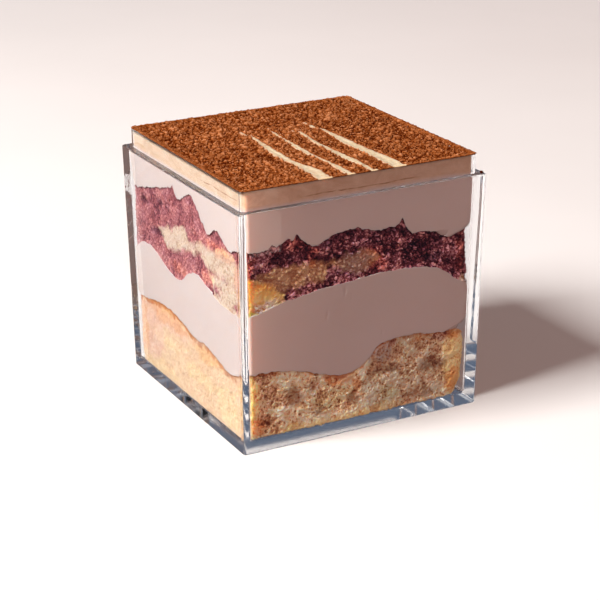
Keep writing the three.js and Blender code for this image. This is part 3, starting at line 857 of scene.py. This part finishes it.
def combed_cream():
    """The cream that shows in the streaks, with the furrows and ridges that the tines left."""
    x, y = np.meshgrid(np.linspace(*COMBED_ACROSS), np.linspace(*COMBED_ALONG))
    gap = streak_gap(x, y)
    points = flat_points(x, y)
    ripples = layered_noise(points * (1.0, 0.35, 1.0), 0.9, 471)
    furrows = soft_noise(points * (1.0, 0.12, 1.0), 0.7, 477)
    z = CREAM_RIM + 0.2 - 0.16 * smooth_step(0.1, 1.6, -gap) + 0.05 * ripples + 0.05 * furrows
    z -= 0.9 * smooth_step(0.05, 0.4, gap)
    speckle = soft_noise(points, 0.5, 481)
    dust = 0.8 * smooth_step(-0.3, 0.05, gap + 0.2 * speckle)
    flecks = smooth_step(0.7, 0.85, soft_noise(points, 0.45, 487)) * 0.7
    return sheet_mesh("combed_cream", x, y, z, CREAM_TOP - 0.2, 0.99, COCOA_UNDERSIDE - 0.3,
                      {"dust": np.maximum(dust, flecks), "combed": np.ones_like(z)})


def lumps(name, places, sizes, seed, darkness):
    """Many small uneven lumps in one mesh, each a squashed and dented twenty-sided ball."""
    golden = (1 + 5**0.5) / 2
    corners = np.array([
        (-1, golden, 0), (1, golden, 0), (-1, -golden, 0), (1, -golden, 0),
        (0, -1, golden), (0, 1, golden), (0, -1, -golden), (0, 1, -golden),
        (golden, 0, -1), (golden, 0, 1), (-golden, 0, -1), (-golden, 0, 1),
    ]) / np.hypot(1, golden)
    faces = np.array([
        (0, 11, 5), (0, 5, 1), (0, 1, 7), (0, 7, 10), (0, 10, 11), (1, 5, 9), (5, 11, 4),
        (11, 10, 2), (10, 7, 6), (7, 1, 8), (3, 9, 4), (3, 4, 2), (3, 2, 6), (3, 6, 8),
        (3, 8, 9), (4, 9, 5), (2, 4, 11), (6, 2, 10), (8, 6, 7), (9, 8, 1),
    ])
    rng = np.random.default_rng(seed)
    count = len(places)
    dents = rng.uniform(0.7, 1.25, (count, 12, 1))
    stretch = rng.uniform(0.7, 1.3, (count, 1, 3)) * np.array((1.0, 1.0, 0.7))
    turn = rng.uniform(0, 2 * math.pi, count)
    shape = corners[None] * dents * stretch * sizes[:, None, None]
    c, s = np.cos(turn)[:, None], np.sin(turn)[:, None]
    turned = np.stack([
        shape[..., 0] * c - shape[..., 1] * s, shape[..., 0] * s + shape[..., 1] * c,
        shape[..., 2],
    ], -1)
    points = turned + places[:, None, :]
    points[..., 2] = np.minimum(points[..., 2], COCOA_TOP)
    triangles = (faces[None] + 12 * np.arange(count)[:, None, None]).reshape(-1, 3)
    hollow = np.repeat(rng.uniform(darkness, darkness + 0.35, count), 12)
    return make_mesh(name, points.reshape(-1, 3), [], triangles, {"hollow": hollow})


def cocoa_clumps():
    """Loose clumps of powder, on the sifted surface and on the cup's rim."""
    rng = np.random.default_rng(5)
    reach = CAVITY_HALF_AT_RIM - 0.2
    x = rng.uniform(-reach, reach, SIFTED_CLUMPS)
    y = rng.uniform(-reach, reach, SIFTED_CLUMPS)
    gap = streak_gap(x, y)
    keep = (gap > 0.1) | ((gap > -0.7) & (rng.random(len(x)) < 0.04))
    x, y = x[keep], y[keep]
    size = 0.12 + 0.17 * rng.random(len(x)) ** 2
    z = np.maximum(cocoa_height(x, y), CREAM_RIM) + 0.2 * size
    on_top = np.stack([x, y, z], -1)

    around = rng.uniform(-1, 1, RIM_CLUMPS) * COLLAR_HALF
    side = rng.integers(0, 4, len(around))
    across = CAVITY_HALF_AT_RIM - 0.1 + 0.75 * rng.random(len(around)) ** 1.4
    across -= 0.35 * (side == FRONT) * rng.random(len(around))
    u = np.choose(side, [around, across, around, -across])
    v = np.choose(side, [-across, around, across, around])
    rim_size = 0.1 + 0.12 * rng.random(len(around)) ** 2
    keep = streak_gap(u, v) > 0.1
    on_rim = np.stack([u, v, CUP_HEIGHT + 0.6 * rim_size], -1)[keep]
    places = np.concatenate([on_top, on_rim])
    return lumps("cocoa_clumps", places, np.append(size, rim_size[keep]), 6, 0.15)


def ledge_crumbs():
    """A few specks that fell on the ledge round the collar."""
    rng = np.random.default_rng(8)
    middle = (COLLAR_HALF + CUP_HALF_AT_LEDGE) / 2
    spots = [(33.9, -33.9, 0.45)]
    for _ in range(LEDGE_SPECKS):
        place, side, size = rng.uniform(-33, 33), rng.integers(4), rng.uniform(0.07, 0.14)
        across = middle + rng.uniform(-0.4, 0.4)
        flat = [(place, -across), (across, place), (place, across), (-across, place)][side]
        spots.append((*flat, size))
    spots = np.array(spots)
    places = np.column_stack([spots[:, :2], LEDGE_HEIGHT + 0.65 * spots[:, 2]])
    return lumps("ledge_crumbs", places, spots[:, 2], 9, 0.8)


# -------- cup


def rounded_square(half, radius, z, steps=10):
    """A ring of points round a square with rounded corners, at height z."""
    ring = []
    for corner in range(4):
        turn = corner * math.pi / 2
        middle = (half - radius) * np.array((
            math.cos(turn) - math.sin(turn), math.sin(turn) + math.cos(turn)))
        for step in range(steps + 1):
            angle = turn + math.pi / 2 * step / steps
            ring.append((middle[0] + radius * math.cos(angle),
                         middle[1] + radius * math.sin(angle), z))
    return np.array(ring)


def quarter_round(start, end, radius, outside, steps=3):
    """Rings of a rounded edge from (half, z) start to end. An outside edge leaves start upwards,
    and any other leaves it sideways."""
    rings = []
    for step in range(steps + 1):
        angle = math.pi / 2 * step / steps
        across, up = (math.sin(angle), 1 - math.cos(angle))
        if outside:
            across, up = (1 - math.cos(angle), math.sin(angle))
        half = start[0] + (end[0] - start[0]) * across
        z = start[1] + (end[1] - start[1]) * up
        rings.append(rounded_square(half, radius, z))
    return rings


def clear_cup():
    """The cup as one closed skin: up its outside, over the ledge and the rim, and down inside."""
    outer, inner = OUTER_CORNER_RADIUS, CAVITY_CORNER_RADIUS
    collar = inner + (COLLAR_HALF - CAVITY_HALF_AT_RIM) / 2
    bevel, lip, fillet = EDGE_BEVEL, EDGE_BEVEL / 2, FLOOR_FILLET
    above_fillet = FLOOR_HEIGHT + fillet
    rings = [
        *quarter_round((CUP_HALF_AT_FOOT - bevel, 0), (CUP_HALF_AT_FOOT, bevel), outer, False),
        *quarter_round((CUP_HALF_AT_LEDGE, LEDGE_HEIGHT - bevel),
                       (CUP_HALF_AT_LEDGE - bevel, LEDGE_HEIGHT), outer, True),
        rounded_square(COLLAR_HALF, collar, LEDGE_HEIGHT),
        *quarter_round((COLLAR_HALF, CUP_HEIGHT - lip), (COLLAR_HALF - lip, CUP_HEIGHT),
                       collar, True),
        rounded_square(CAVITY_HALF_AT_RIM, inner, CUP_HEIGHT),
        *quarter_round((cavity_half(above_fillet), above_fillet),
                       (CAVITY_HALF_AT_FLOOR - fillet, FLOOR_HEIGHT), inner, True),
    ]
    return stack_of_rings("clear_cup", np.array(rings), sharp_angle=5)


# -------- materials


class Tree:
    """A material's node tree, with short ways to add nodes."""

    def __init__(self, name):
        self.material = bpy.data.materials.new(name)
        self.material.use_nodes = True
        self.nodes = self.material.node_tree.nodes
        self.links = self.material.node_tree.links
        self.nodes.clear()
        self.place = self.add("ShaderNodeTexCoord").outputs["Object"]
        self.rag = None

    def add(self, kind, **values):
        """A node with its settings and inputs: an input's value or the socket that feeds it."""
        node = self.nodes.new(kind)
        for key, value in values.items():
            if hasattr(node, key):
                setattr(node, key, value)
                continue
            socket = next(s for s in node.inputs if s.name.replace(" ", "_") == key and s.enabled)
            self.feed(socket, value)
        return node

    def feed(self, socket, value):
        if isinstance(value, bpy.types.NodeSocket):
            self.links.new(value, socket)
        elif isinstance(value, tuple) and len(value) == 3 and socket.type == "RGBA":
            socket.default_value = (*value, 1)
        else:
            socket.default_value = value

    def noise(self, size_mm, detail=3, roughness=0.5, distortion=0.0, stretch=None):
        place = self.place
        if stretch is not None:
            mapping = self.add("ShaderNodeMapping", Vector=place)
            mapping.inputs["Scale"].default_value = stretch
            place = mapping.outputs["Vector"]
        node = self.add(
            "ShaderNodeTexNoise", Vector=place, Scale=1 / (size_mm * MM), Detail=detail,
            Roughness=roughness, Distortion=distortion)
        return node.outputs["Fac"]

    def attribute(self, name):
        return self.add("ShaderNodeAttribute", attribute_name=name).outputs["Fac"]

    def patchy(self, name):
        """A soft mask of the mesh, broken up into ragged patches as crumb is."""
        if self.rag is None:
            self.rag = self.minus(self.times(self.noise(1.5, 5, 0.7), 3.2), 0.5)
        broken = self.times(self.attribute(name), self.rag)
        return self.ramp(broken, (0.22, 0.0), (0.85, 1.0))

    def threads(self, size_mm, sharpness):
        """0 on a web of thin threads, and up to 1 between them."""
        level = self.minus(self.noise(size_mm, 3, 0.6, 0.5), 0.5)
        return self.times(self.maths("ABSOLUTE", level), sharpness, clamp=True)

    def height(self, top_mm):
        """Height over the origin, as a share of top_mm."""
        z = self.add("ShaderNodeSeparateXYZ", Vector=self.place).outputs["Z"]
        return self.maths("DIVIDE", z, top_mm * MM)

    def ramp(self, factor, *stops):
        """A colour that changes with factor, through stops (place, colour)."""
        node = self.add("ShaderNodeValToRGB", Fac=factor)
        elements = node.color_ramp.elements
        while len(elements) < len(stops):
            elements.new(0.5)
        for element, (place, colour) in zip(elements, stops):
            element.position = place
            element.color = (*colour, 1) if isinstance(colour, tuple) else (colour,) * 3 + (1,)
        return node.outputs["Color"]

    def mix(self, factor, a, b, blend="MIX"):
        node = self.nodes.new("ShaderNodeMix")
        node.data_type = "RGBA"
        node.blend_type = blend
        self.feed(node.inputs[0], factor)
        self.feed(node.inputs[6], a)
        self.feed(node.inputs[7], b)
        return node.outputs[2]

    def maths(self, operation, a, b=0.0, clamp=False):
        node = self.nodes.new("ShaderNodeMath")
        node.operation = operation
        node.use_clamp = clamp
        self.feed(node.inputs[0], a)
        self.feed(node.inputs[1], b)
        return node.outputs[0]

    def plus(self, a, b, clamp=False):
        return self.maths("ADD", a, b, clamp)

    def minus(self, a, b):
        return self.maths("SUBTRACT", a, b)

    def times(self, a, b, clamp=False):
        return self.maths("MULTIPLY", a, b, clamp)

    def tinted(self, colour, tint):
        """The colour multiplied by the tint."""
        return self.mix(1.0, colour, tint, "MULTIPLY")

    def stained(self, colour, stains):
        """The colour multiplied by each stain's tint where the mesh has that attribute."""
        for name, tint in stains.items():
            colour = self.mix(self.patchy(name), colour, self.tinted(colour, tint))
        return colour

    def bump(self, height, distance_mm, strength=1.0):
        return self.add("ShaderNodeBump", Height=height, Distance=distance_mm * MM,
                        Strength=strength).outputs["Normal"]

    def finish(self, **values):
        """Ends the tree in a Principled shader, and returns the material."""
        shader = self.add("ShaderNodeBsdfPrincipled", **values)
        self.add("ShaderNodeOutputMaterial", Surface=shader.outputs["BSDF"])
        return self.material


def cream_material():
    t = Tree("cream")
    colour = t.ramp(t.noise(14, 3), (0.3, (0.59, 0.487, 0.455)), (0.7, (0.618, 0.513, 0.483)))
    smears = t.ramp(t.noise(6, 4, 0.6, 1.2), (0.55, 0.0), (0.8, 0.22))
    colour = t.mix(smears, colour, (0.57, 0.46, 0.412))
    # painted light: the cream is painted paler towards the front wall's left end, where light comes in
    # from both sides
    colour = t.mix(t.attribute("lit"), colour, (0.90, 0.70, 0.615))
    collar = t.ramp(t.noise(3.5, 4, 0.6, 0.6, (1, 1, 1.6)), (0.35, (0.99, 0.83, 0.61)),
                    (0.62, (1.14, 1.03, 0.82)), (0.8, (1.17, 1.08, 0.89)))
    colour = t.mix(t.attribute("behind_collar"), colour, t.tinted(colour, collar))
    combed = t.ramp(t.noise(1.2, 3), (0.35, (0.37, 0.295, 0.195)), (0.6, (0.43, 0.355, 0.245)))
    colour = t.mix(t.attribute("combed"), colour, combed)
    wobble = t.times(t.minus(t.noise(5, 3), 0.5), 0.9)
    away = t.maths("ABSOLUTE", t.plus(t.attribute("off_line"), wobble))
    line = t.times(t.ramp(away, (0.05, 1.0), (0.2, 0.0)), t.attribute("line"))
    line = t.times(line, t.ramp(t.noise(2.5, 3), (0.35, 0.15), (0.6, 0.9)))
    colour = t.mix(line, colour, (0.26, 0.10, 0.035))
    patchy = t.ramp(t.noise(0.5, 2), (0.3, 0.5), (0.6, 1.0))
    colour = t.mix(t.times(t.attribute("dust"), patchy), colour, (0.33, 0.10, 0.035))
    relief = t.bump(t.noise(1.6, 3, 0.6), 0.05, 0.5)
    return t.finish(
        Base_Color=colour, Roughness=0.5, Normal=relief, Specular_IOR_Level=0.2,
        Subsurface_Weight=0.6, Subsurface_Radius=(1.0, 0.7, 0.55), Subsurface_Scale=0.0015,
    )


def uneven(t, depth, grain_mm, strength):
    """The depth, from 0 to 1, with fine grain added to it."""
    grain = t.minus(t.noise(grain_mm, 4, 0.75), 0.5)
    return t.plus(depth, t.times(grain, strength), clamp=True)


def lit_through(t):
    """Subsurface weight and scale of sponge: more near the corner where light comes through it."""
    glow = t.maths("POWER", t.attribute("lit"), 2.0)
    return t.plus(t.times(glow, 0.7), 0.3), t.plus(t.times(glow, 6.0 * MM), 1.2 * MM)


def base_sponge_material():
    t = Tree("base_sponge")
    # painted shade and highlight: every colour below that follows depth is darker in the pits and
    # caves, as shade, and lighter on the threads; on the front wall the threads are painted near
    # white, for light that comes through the crumb
    web = t.times(t.threads(1.3, 5.5), 0.5)
    pits = t.times(t.attribute("pit"), 0.62)
    lie = t.times(t.minus(t.noise(4.0, 2), 0.515), 0.9)
    depth = uneven(t, t.plus(web, t.plus(pits, lie)), 0.65, 2.0)
    torn = t.ramp(depth, (0.18, (1.0, 1.0, 0.80)), (0.37, (1.0, 0.88, 0.56)),
                  (0.53, (0.98, 0.66, 0.39)), (0.69, (0.70, 0.40, 0.21)), (0.92, (0.33, 0.14, 0.06)))
    hue = t.ramp(t.noise(3.2, 3), (0.35, (1.0, 0.9, 0.88)), (0.65, (1.0, 1.0, 0.96)))
    torn = t.tinted(torn, hue)
    fine = t.ramp(t.noise(2.2, 5, 0.7, 0.6, (1, 1, 1.8)), (0.3, (0.64, 0.41, 0.27)),
                  (0.5, (0.73, 0.51, 0.335)), (0.68, (0.80, 0.60, 0.40)))
    fine = t.mix(t.ramp(depth, (0.45, 0.0), (1.0, 0.45)), fine, (0.56, 0.32, 0.18))
    colour = t.mix(t.attribute("fine"), torn, fine)
    gold = t.ramp(depth, (0.2, (1.0, 0.84, 0.44)), (0.55, (1.0, 0.67, 0.30)),
                  (1.0, (0.60, 0.29, 0.10)))
    colour = t.mix(t.patchy("golden"), colour, gold)
    # the tints for caves and for broad darker patches are painted shade
    colour = t.stained(colour, {
        "rust": (0.88, 0.62, 0.46), "cave": (0.55, 0.42, 0.36), "mauve": (0.72, 0.66, 0.78),
        "khaki": (0.92, 1.0, 0.92), "rosy": (1.0, 0.93, 1.06), "yolk": (1.04, 1.08, 1.0),
        "toast": (1.0, 0.87, 0.70), "dim": (0.77, 0.75, 0.76),
        "crust": (0.72, 0.53, 0.47), "baked": (0.95, 0.74, 0.5), "flecks": (0.5, 0.35, 0.3),
    })
    relief = t.bump(t.noise(0.4, 4, 0.7), 0.12, 0.8)
    weight, scale = lit_through(t)
    return t.finish(
        Base_Color=colour, Roughness=t.ramp(t.noise(1.0, 3), (0.3, 0.6), (0.7, 0.85)),
        Normal=relief, Specular_IOR_Level=0.12, Subsurface_Weight=weight,
        Subsurface_Radius=(1.0, 0.6, 0.3), Subsurface_Scale=scale,
    )


def soaked_sponge_material():
    t = Tree("soaked_sponge")
    # painted shade and highlight: every colour below that follows depth is darker in the gaps between
    # clumps, as shade, and lighter on their tops, where pink glints of wet crumb are painted
    web = t.minus(0.21, t.times(t.threads(1.6, 4.0), 0.5))
    depth = uneven(t, t.minus(t.attribute("pit"), web), 0.65, 2.3)
    wet = t.ramp(depth, (0.05, (0.74, 0.37, 0.38)), (0.25, (0.36, 0.125, 0.14)),
                 (0.46, (0.185, 0.045, 0.057)), (0.66, (0.09, 0.012, 0.018)),
                 (0.9, (0.022, 0.0005, 0.002)))
    # painted light: a paler copy of the wet crumb for the left wall, and partly the right and back
    # ones, for light that comes through the crumb and haze on the wall
    light = t.ramp(depth, (0.05, (0.58, 0.28, 0.27)), (0.25, (0.435, 0.168, 0.165)),
                   (0.5, (0.33, 0.108, 0.112)), (0.72, (0.235, 0.064, 0.07)),
                   (0.95, (0.11, 0.022, 0.03)))
    wet = t.mix(t.attribute("fine"), wet, light)
    tint = t.ramp(t.noise(4, 3), (0.35, (0.85, 0.82, 0.92)), (0.7, (1.15, 1.1, 1.05)))
    wet = t.tinted(wet, tint)
    gold = t.ramp(depth, (0.1, (0.69, 0.455, 0.27)), (0.5, (0.545, 0.29, 0.152)),
                  (0.95, (0.40, 0.16, 0.078)))
    # partly painted light: amber crumb, painted as bright as the glow of light that comes through the
    # corner from the left wall
    amber = t.ramp(uneven(t, t.noise(2.6, 4, 0.6), 0.9, 0.5), (0.3, (0.95, 0.42, 0.10)),
                   (0.5, (1.0, 0.62, 0.20)), (0.7, (1.0, 0.80, 0.37)))
    pale = t.ramp(depth, (0.1, (0.64, 0.505, 0.40)), (0.5, (0.615, 0.475, 0.37)),
                  (0.75, (0.56, 0.41, 0.305)), (0.95, (0.44, 0.28, 0.19)))
    colour = t.mix(t.patchy("golden"), wet, gold)
    colour = t.mix(t.patchy("amber"), colour, amber)
    colour = t.mix(t.patchy("pale"), colour, pale)
    crumbs = t.ramp(depth, (0.35, (1.0, 0.88, 0.72)), (0.7, (0.6, 0.30, 0.16)))
    colour = t.mix(t.patchy("crumbs"), colour, crumbs)
    # the tint for caves is painted shade
    colour = t.stained(colour, {
        "rust": (1.1, 0.78, 0.62), "cave": (0.42, 0.34, 0.42), "blush": (0.95, 0.74, 0.70),
        "mauve": (0.70, 0.72, 0.95), "edge": (0.5, 0.4, 0.38), "salmon": (1.35, 1.28, 1.02),
    })
    relief = t.bump(t.noise(0.35, 4, 0.7), 0.12, 0.8)
    weight, scale = lit_through(t)
    return t.finish(
        Base_Color=colour, Roughness=t.ramp(t.noise(0.8, 3), (0.3, 0.5), (0.7, 0.8)),
        Normal=relief, Specular_IOR_Level=0.06, Subsurface_Weight=weight,
        Subsurface_Radius=(1.0, 0.5, 0.2), Subsurface_Scale=scale,
    )


def cocoa_material():
    t = Tree("cocoa_powder")
    # painted shade: the powder is darker the deeper it lies below its top, in the cracks between
    # clumps, and darker again on the rim; the loose lumps take a random place on this scale
    painted_shade_depth = uneven(t, t.plus(t.attribute("hollow"), 0.2), 0.7, 1.3)
    colour = t.ramp(painted_shade_depth, (0.3, (0.37, 0.155, 0.071)), (0.52, (0.25, 0.086, 0.029)),
                    (0.72, (0.155, 0.038, 0.0075)), (0.95, (0.036, 0.003, 0.0001)))
    drift = t.ramp(t.noise(6, 3), (0.35, (0.88, 0.86, 0.86)), (0.7, (1.1, 1.12, 1.15)))
    colour = t.tinted(colour, drift)
    colour = t.mix(t.attribute("smear"), colour, (0.46, 0.34, 0.21))
    relief = t.bump(t.noise(0.25, 3, 0.6), 0.06, 0.7)
    return t.finish(Base_Color=colour, Roughness=0.95, Normal=relief, Specular_IOR_Level=0.0)


def cup_material():
    """Clear plastic, polished all over but for its underside and the ledge."""
    t = Tree("clear_plastic")
    flow = t.bump(t.noise(22, 2), 0.012, 1.0)
    tint = t.ramp(t.noise(40, 1), (0.3, (0.985, 0.993, 1.0)), (0.7, (0.975, 0.988, 1.0)))
    ledge = LEDGE_HEIGHT / CUP_HEIGHT
    underside_rough, ledge_rough = 0.05, 0.1
    rough = t.ramp(t.height(CUP_HEIGHT), (0.004, underside_rough), (0.008, 0.0),
                   (ledge - 0.007, 0.0), (ledge - 0.004, ledge_rough),
                   (ledge + 0.003, ledge_rough), (ledge + 0.006, 0.0))
    return t.finish(Base_Color=tint, Roughness=rough, IOR=1.5, Transmission_Weight=1.0,
                    Normal=flow)


def floor_material():
    """Pale, and further out as bright as the backdrop."""
    t = Tree("floor")
    colour = t.ramp(t.noise(120, 4), (0.3, (0.57, 0.56, 0.555)), (0.7, (0.59, 0.58, 0.575)))
    away = t.add("ShaderNodeVectorMath", operation="LENGTH", Vector=t.place).outputs["Value"]
    far = t.ramp(t.times(away, 0.5), (0.2, 0.0), (0.8, 1.0))
    return t.finish(Base_Color=t.mix(far, colour, (0.0, 0.0, 0.0)), Roughness=0.8,
                    Specular_IOR_Level=0.2, Emission_Color=BACKDROP_LOW, Emission_Strength=far)


def backdrop_material():
    t = Tree("backdrop")
    colour = t.ramp(t.height(BACKDROP_RADIUS), (0.1, BACKDROP_LOW), (0.28, BACKDROP_BAND),
                    (0.44, BACKDROP_BAND), (0.6, BACKDROP_HIGH))
    t.material.cycles.emission_sampling = "NONE"
    return t.finish(Base_Color=(0.0, 0.0, 0.0), Specular_IOR_Level=0.0, Emission_Color=colour,
                    Emission_Strength=1.0)


# -------- the piece itself


def build():
    """Every piece, as (object, material, slot, the node that it replaces)."""
    cream, cocoa = cream_material(), cocoa_material()
    sponge, soaked = base_sponge_material(), soaked_sponge_material()
    return [
        (clear_cup(), cup_material(), "clear_plastic", "box"),
        (layer_mesh("base_sponge", sponge_floor, base_top, BASE_SPONGE_CORNERS,
                    SPONGE_ROW_STEP, base_sponge_relief),
         sponge, "base_sponge", "sponge_base"),
        (layer_mesh("lower_cream", base_top, lower_cream_top, LOWER_CREAM_CORNERS,
                    CREAM_ROW_STEP, cream_relief(BUBBLES, []), overlap=0.15, sharp_angle=50),
         cream, "cream", "cream_lower"),
        (layer_mesh("soaked_sponge", lower_cream_top, soaked_top, SOAKED_SPONGE_CORNERS,
                    SPONGE_ROW_STEP, soaked_sponge_relief),
         soaked, "soaked_sponge", "sponge_soaked"),
        (layer_mesh("upper_cream", soaked_top, upper_cream_top, UPPER_CREAM_CORNERS,
                    CREAM_ROW_STEP, cream_relief([], LINES), overlap=0.1, sharp_angle=50),
         cream, "cream", "cream_upper"),
        (combed_cream(), cream, "cream", None),
        (cocoa_powder(), cocoa, "cocoa_powder", "cocoa"),
        (cocoa_clumps(), cocoa, "cocoa_powder", None),
        (ledge_crumbs(), cocoa, "cocoa_powder", None),
    ]


for piece, material, slot, node in build():
    piece.data.materials.append(material)
    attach(piece, "root")
    if node:
        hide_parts(node)
    if slot == "clear_plastic":
        # light reaches the food as through a thin clear wall
        piece.visible_shadow = False
        piece.visible_diffuse = False


# -------- camera, lights and floor


def direction(azimuth, elevation):
    """The way towards a camera or light. Azimuth 0 is in front of the cup. Angles in radians."""
    level = math.cos(elevation)
    return Vector((math.sin(azimuth) * level, -math.cos(azimuth) * level, math.sin(elevation)))


def add_camera():
    a, e, r = (math.radians(v) for v in (CAMERA_AZIMUTH, CAMERA_ELEVATION, CAMERA_ROLL))
    back = direction(a, e)
    level_right = Vector((math.cos(a), math.sin(a), 0))
    level_up = back.cross(level_right)
    right = math.cos(r) * level_right + math.sin(r) * level_up
    up = math.cos(r) * level_up - math.sin(r) * level_right
    place = back * CAMERA_DISTANCE + level_right * CAMERA_ASIDE + level_up * CAMERA_RAISED
    data = bpy.data.cameras.new("camera")
    data.lens = CAMERA_LENS
    data.sensor_width = CAMERA_SENSOR
    data.clip_start = CAMERA_NEAR
    camera = bpy.data.objects.new("camera", data)
    camera.matrix_world = Matrix((
        (right.x, up.x, back.x, place.x),
        (right.y, up.y, back.y, place.y),
        (right.z, up.z, back.z, place.z),
        (0, 0, 0, 1),
    ))
    bpy.context.scene.collection.objects.link(camera)
    bpy.context.scene.camera = camera


def add_area(name, azimuth, elevation, distance, size, power, colour):
    """A soft square light that faces the middle of the food."""
    way = direction(math.radians(azimuth), math.radians(elevation))
    data = bpy.data.lights.new(name, "AREA")
    data.size = size
    data.energy = power
    data.color = colour
    light = bpy.data.objects.new(name, data)
    light.location = LIGHTS_AIM + way * distance
    light.rotation_mode = "QUATERNION"
    light.rotation_quaternion = (-way).to_track_quat("-Z", "Y")
    bpy.context.scene.collection.objects.link(light)
    return light


def hide_from_food(piece):
    """The piece shows only to the camera and through the cup, and doesn't change the light."""
    piece.visible_diffuse = False
    piece.visible_glossy = False
    piece.visible_shadow = False


def add_stage():
    """A floor and a dome over it. They show to the camera and through the cup, and don't light
    the food."""
    half = 1.2 * BACKDROP_RADIUS
    corners = [(x * half, y * half, STAGE_FLOOR) for x, y in ((-1, -1), (1, -1), (1, 1), (-1, 1))]
    floor = make_mesh("floor", np.array(corners), [(0, 1, 2, 3)])
    floor.data.materials.append(floor_material())
    turn, rise = np.meshgrid(np.linspace(0, 2 * math.pi, DOME_COLUMNS, endpoint=False),
                             np.radians(DOME_RISES))
    rings = BACKDROP_RADIUS * np.stack(
        [np.cos(rise) * np.cos(turn), np.cos(rise) * np.sin(turn), np.sin(rise)], -1)
    dome = stack_of_rings("backdrop", rings)
    dome.data.materials.append(backdrop_material())
    hide_from_food(floor)
    hide_from_food(dome)


def add_flags():
    """Dark cards beside the cup, as a studio has them, and one under it, all glowing a dull slate.
    They show only in what the cup mirrors and refracts. The glow of the card under the cup is
    painted light, for what reaches the floor beneath the food."""
    near, end, tall, under = CARD_NEAR, CARD_END, CARD_HEIGHT, CARD_UNDER_CUP
    left, front, front_left = -LEFT_CARD_FAR, -FRONT_CARD_FAR, -FRONT_CARD_LEFT
    points = [
        (-near, -near, 0), (left, -near, 0), (left, end, 0), (-near, end, 0), (left, end, tall),
        (-near, end, tall), (front_left, -near, 0), (front_left, front, 0), (end, front, 0),
        (end, -near, 0), (end, front, tall), (end, -near, tall),
        (-end, -end, under), (end, -end, under), (end, end, under), (-end, end, under),
    ]
    cards = make_mesh("flags", np.array(points), [
        (0, 1, 2, 3), (3, 2, 4, 5), (6, 7, 8, 9), (9, 8, 10, 11), (12, 13, 14, 15)])
    t = Tree("flags")
    t.material.cycles.emission_sampling = "NONE"
    cards.data.materials.append(t.finish(
        Base_Color=(0.0, 0.0, 0.0), Roughness=1.0, Specular_IOR_Level=0.0,
        Emission_Color=CARD_GLOW, Emission_Strength=1.0))
    cards.visible_camera = False
    hide_from_food(cards)


def add_world():
    world = bpy.data.worlds.new("studio")
    world.use_nodes = True
    background = world.node_tree.nodes["Background"]
    background.inputs["Color"].default_value = WORLD_COLOUR
    background.inputs["Strength"].default_value = WORLD_STRENGTH
    world.cycles_visibility.glossy = False
    bpy.context.scene.world = world


add_camera()
add_area("key", *KEY_LIGHT)
for name, values in FILL_LIGHTS.items():
    fill = add_area(name, *values)
    # it would glitter in the foot of the cup
    fill.visible_glossy = False
    fill.visible_transmission = False
add_stage()
add_flags()
add_world()
bpy.context.scene.view_settings.view_transform = "Standard"

# light runs along inside the cup's walls for many reflections
light_paths = bpy.context.scene.cycles
light_paths.max_bounces = MOST_BOUNCES
light_paths.glossy_bounces = CLEAR_BOUNCES
light_paths.transmission_bounces = CLEAR_BOUNCES
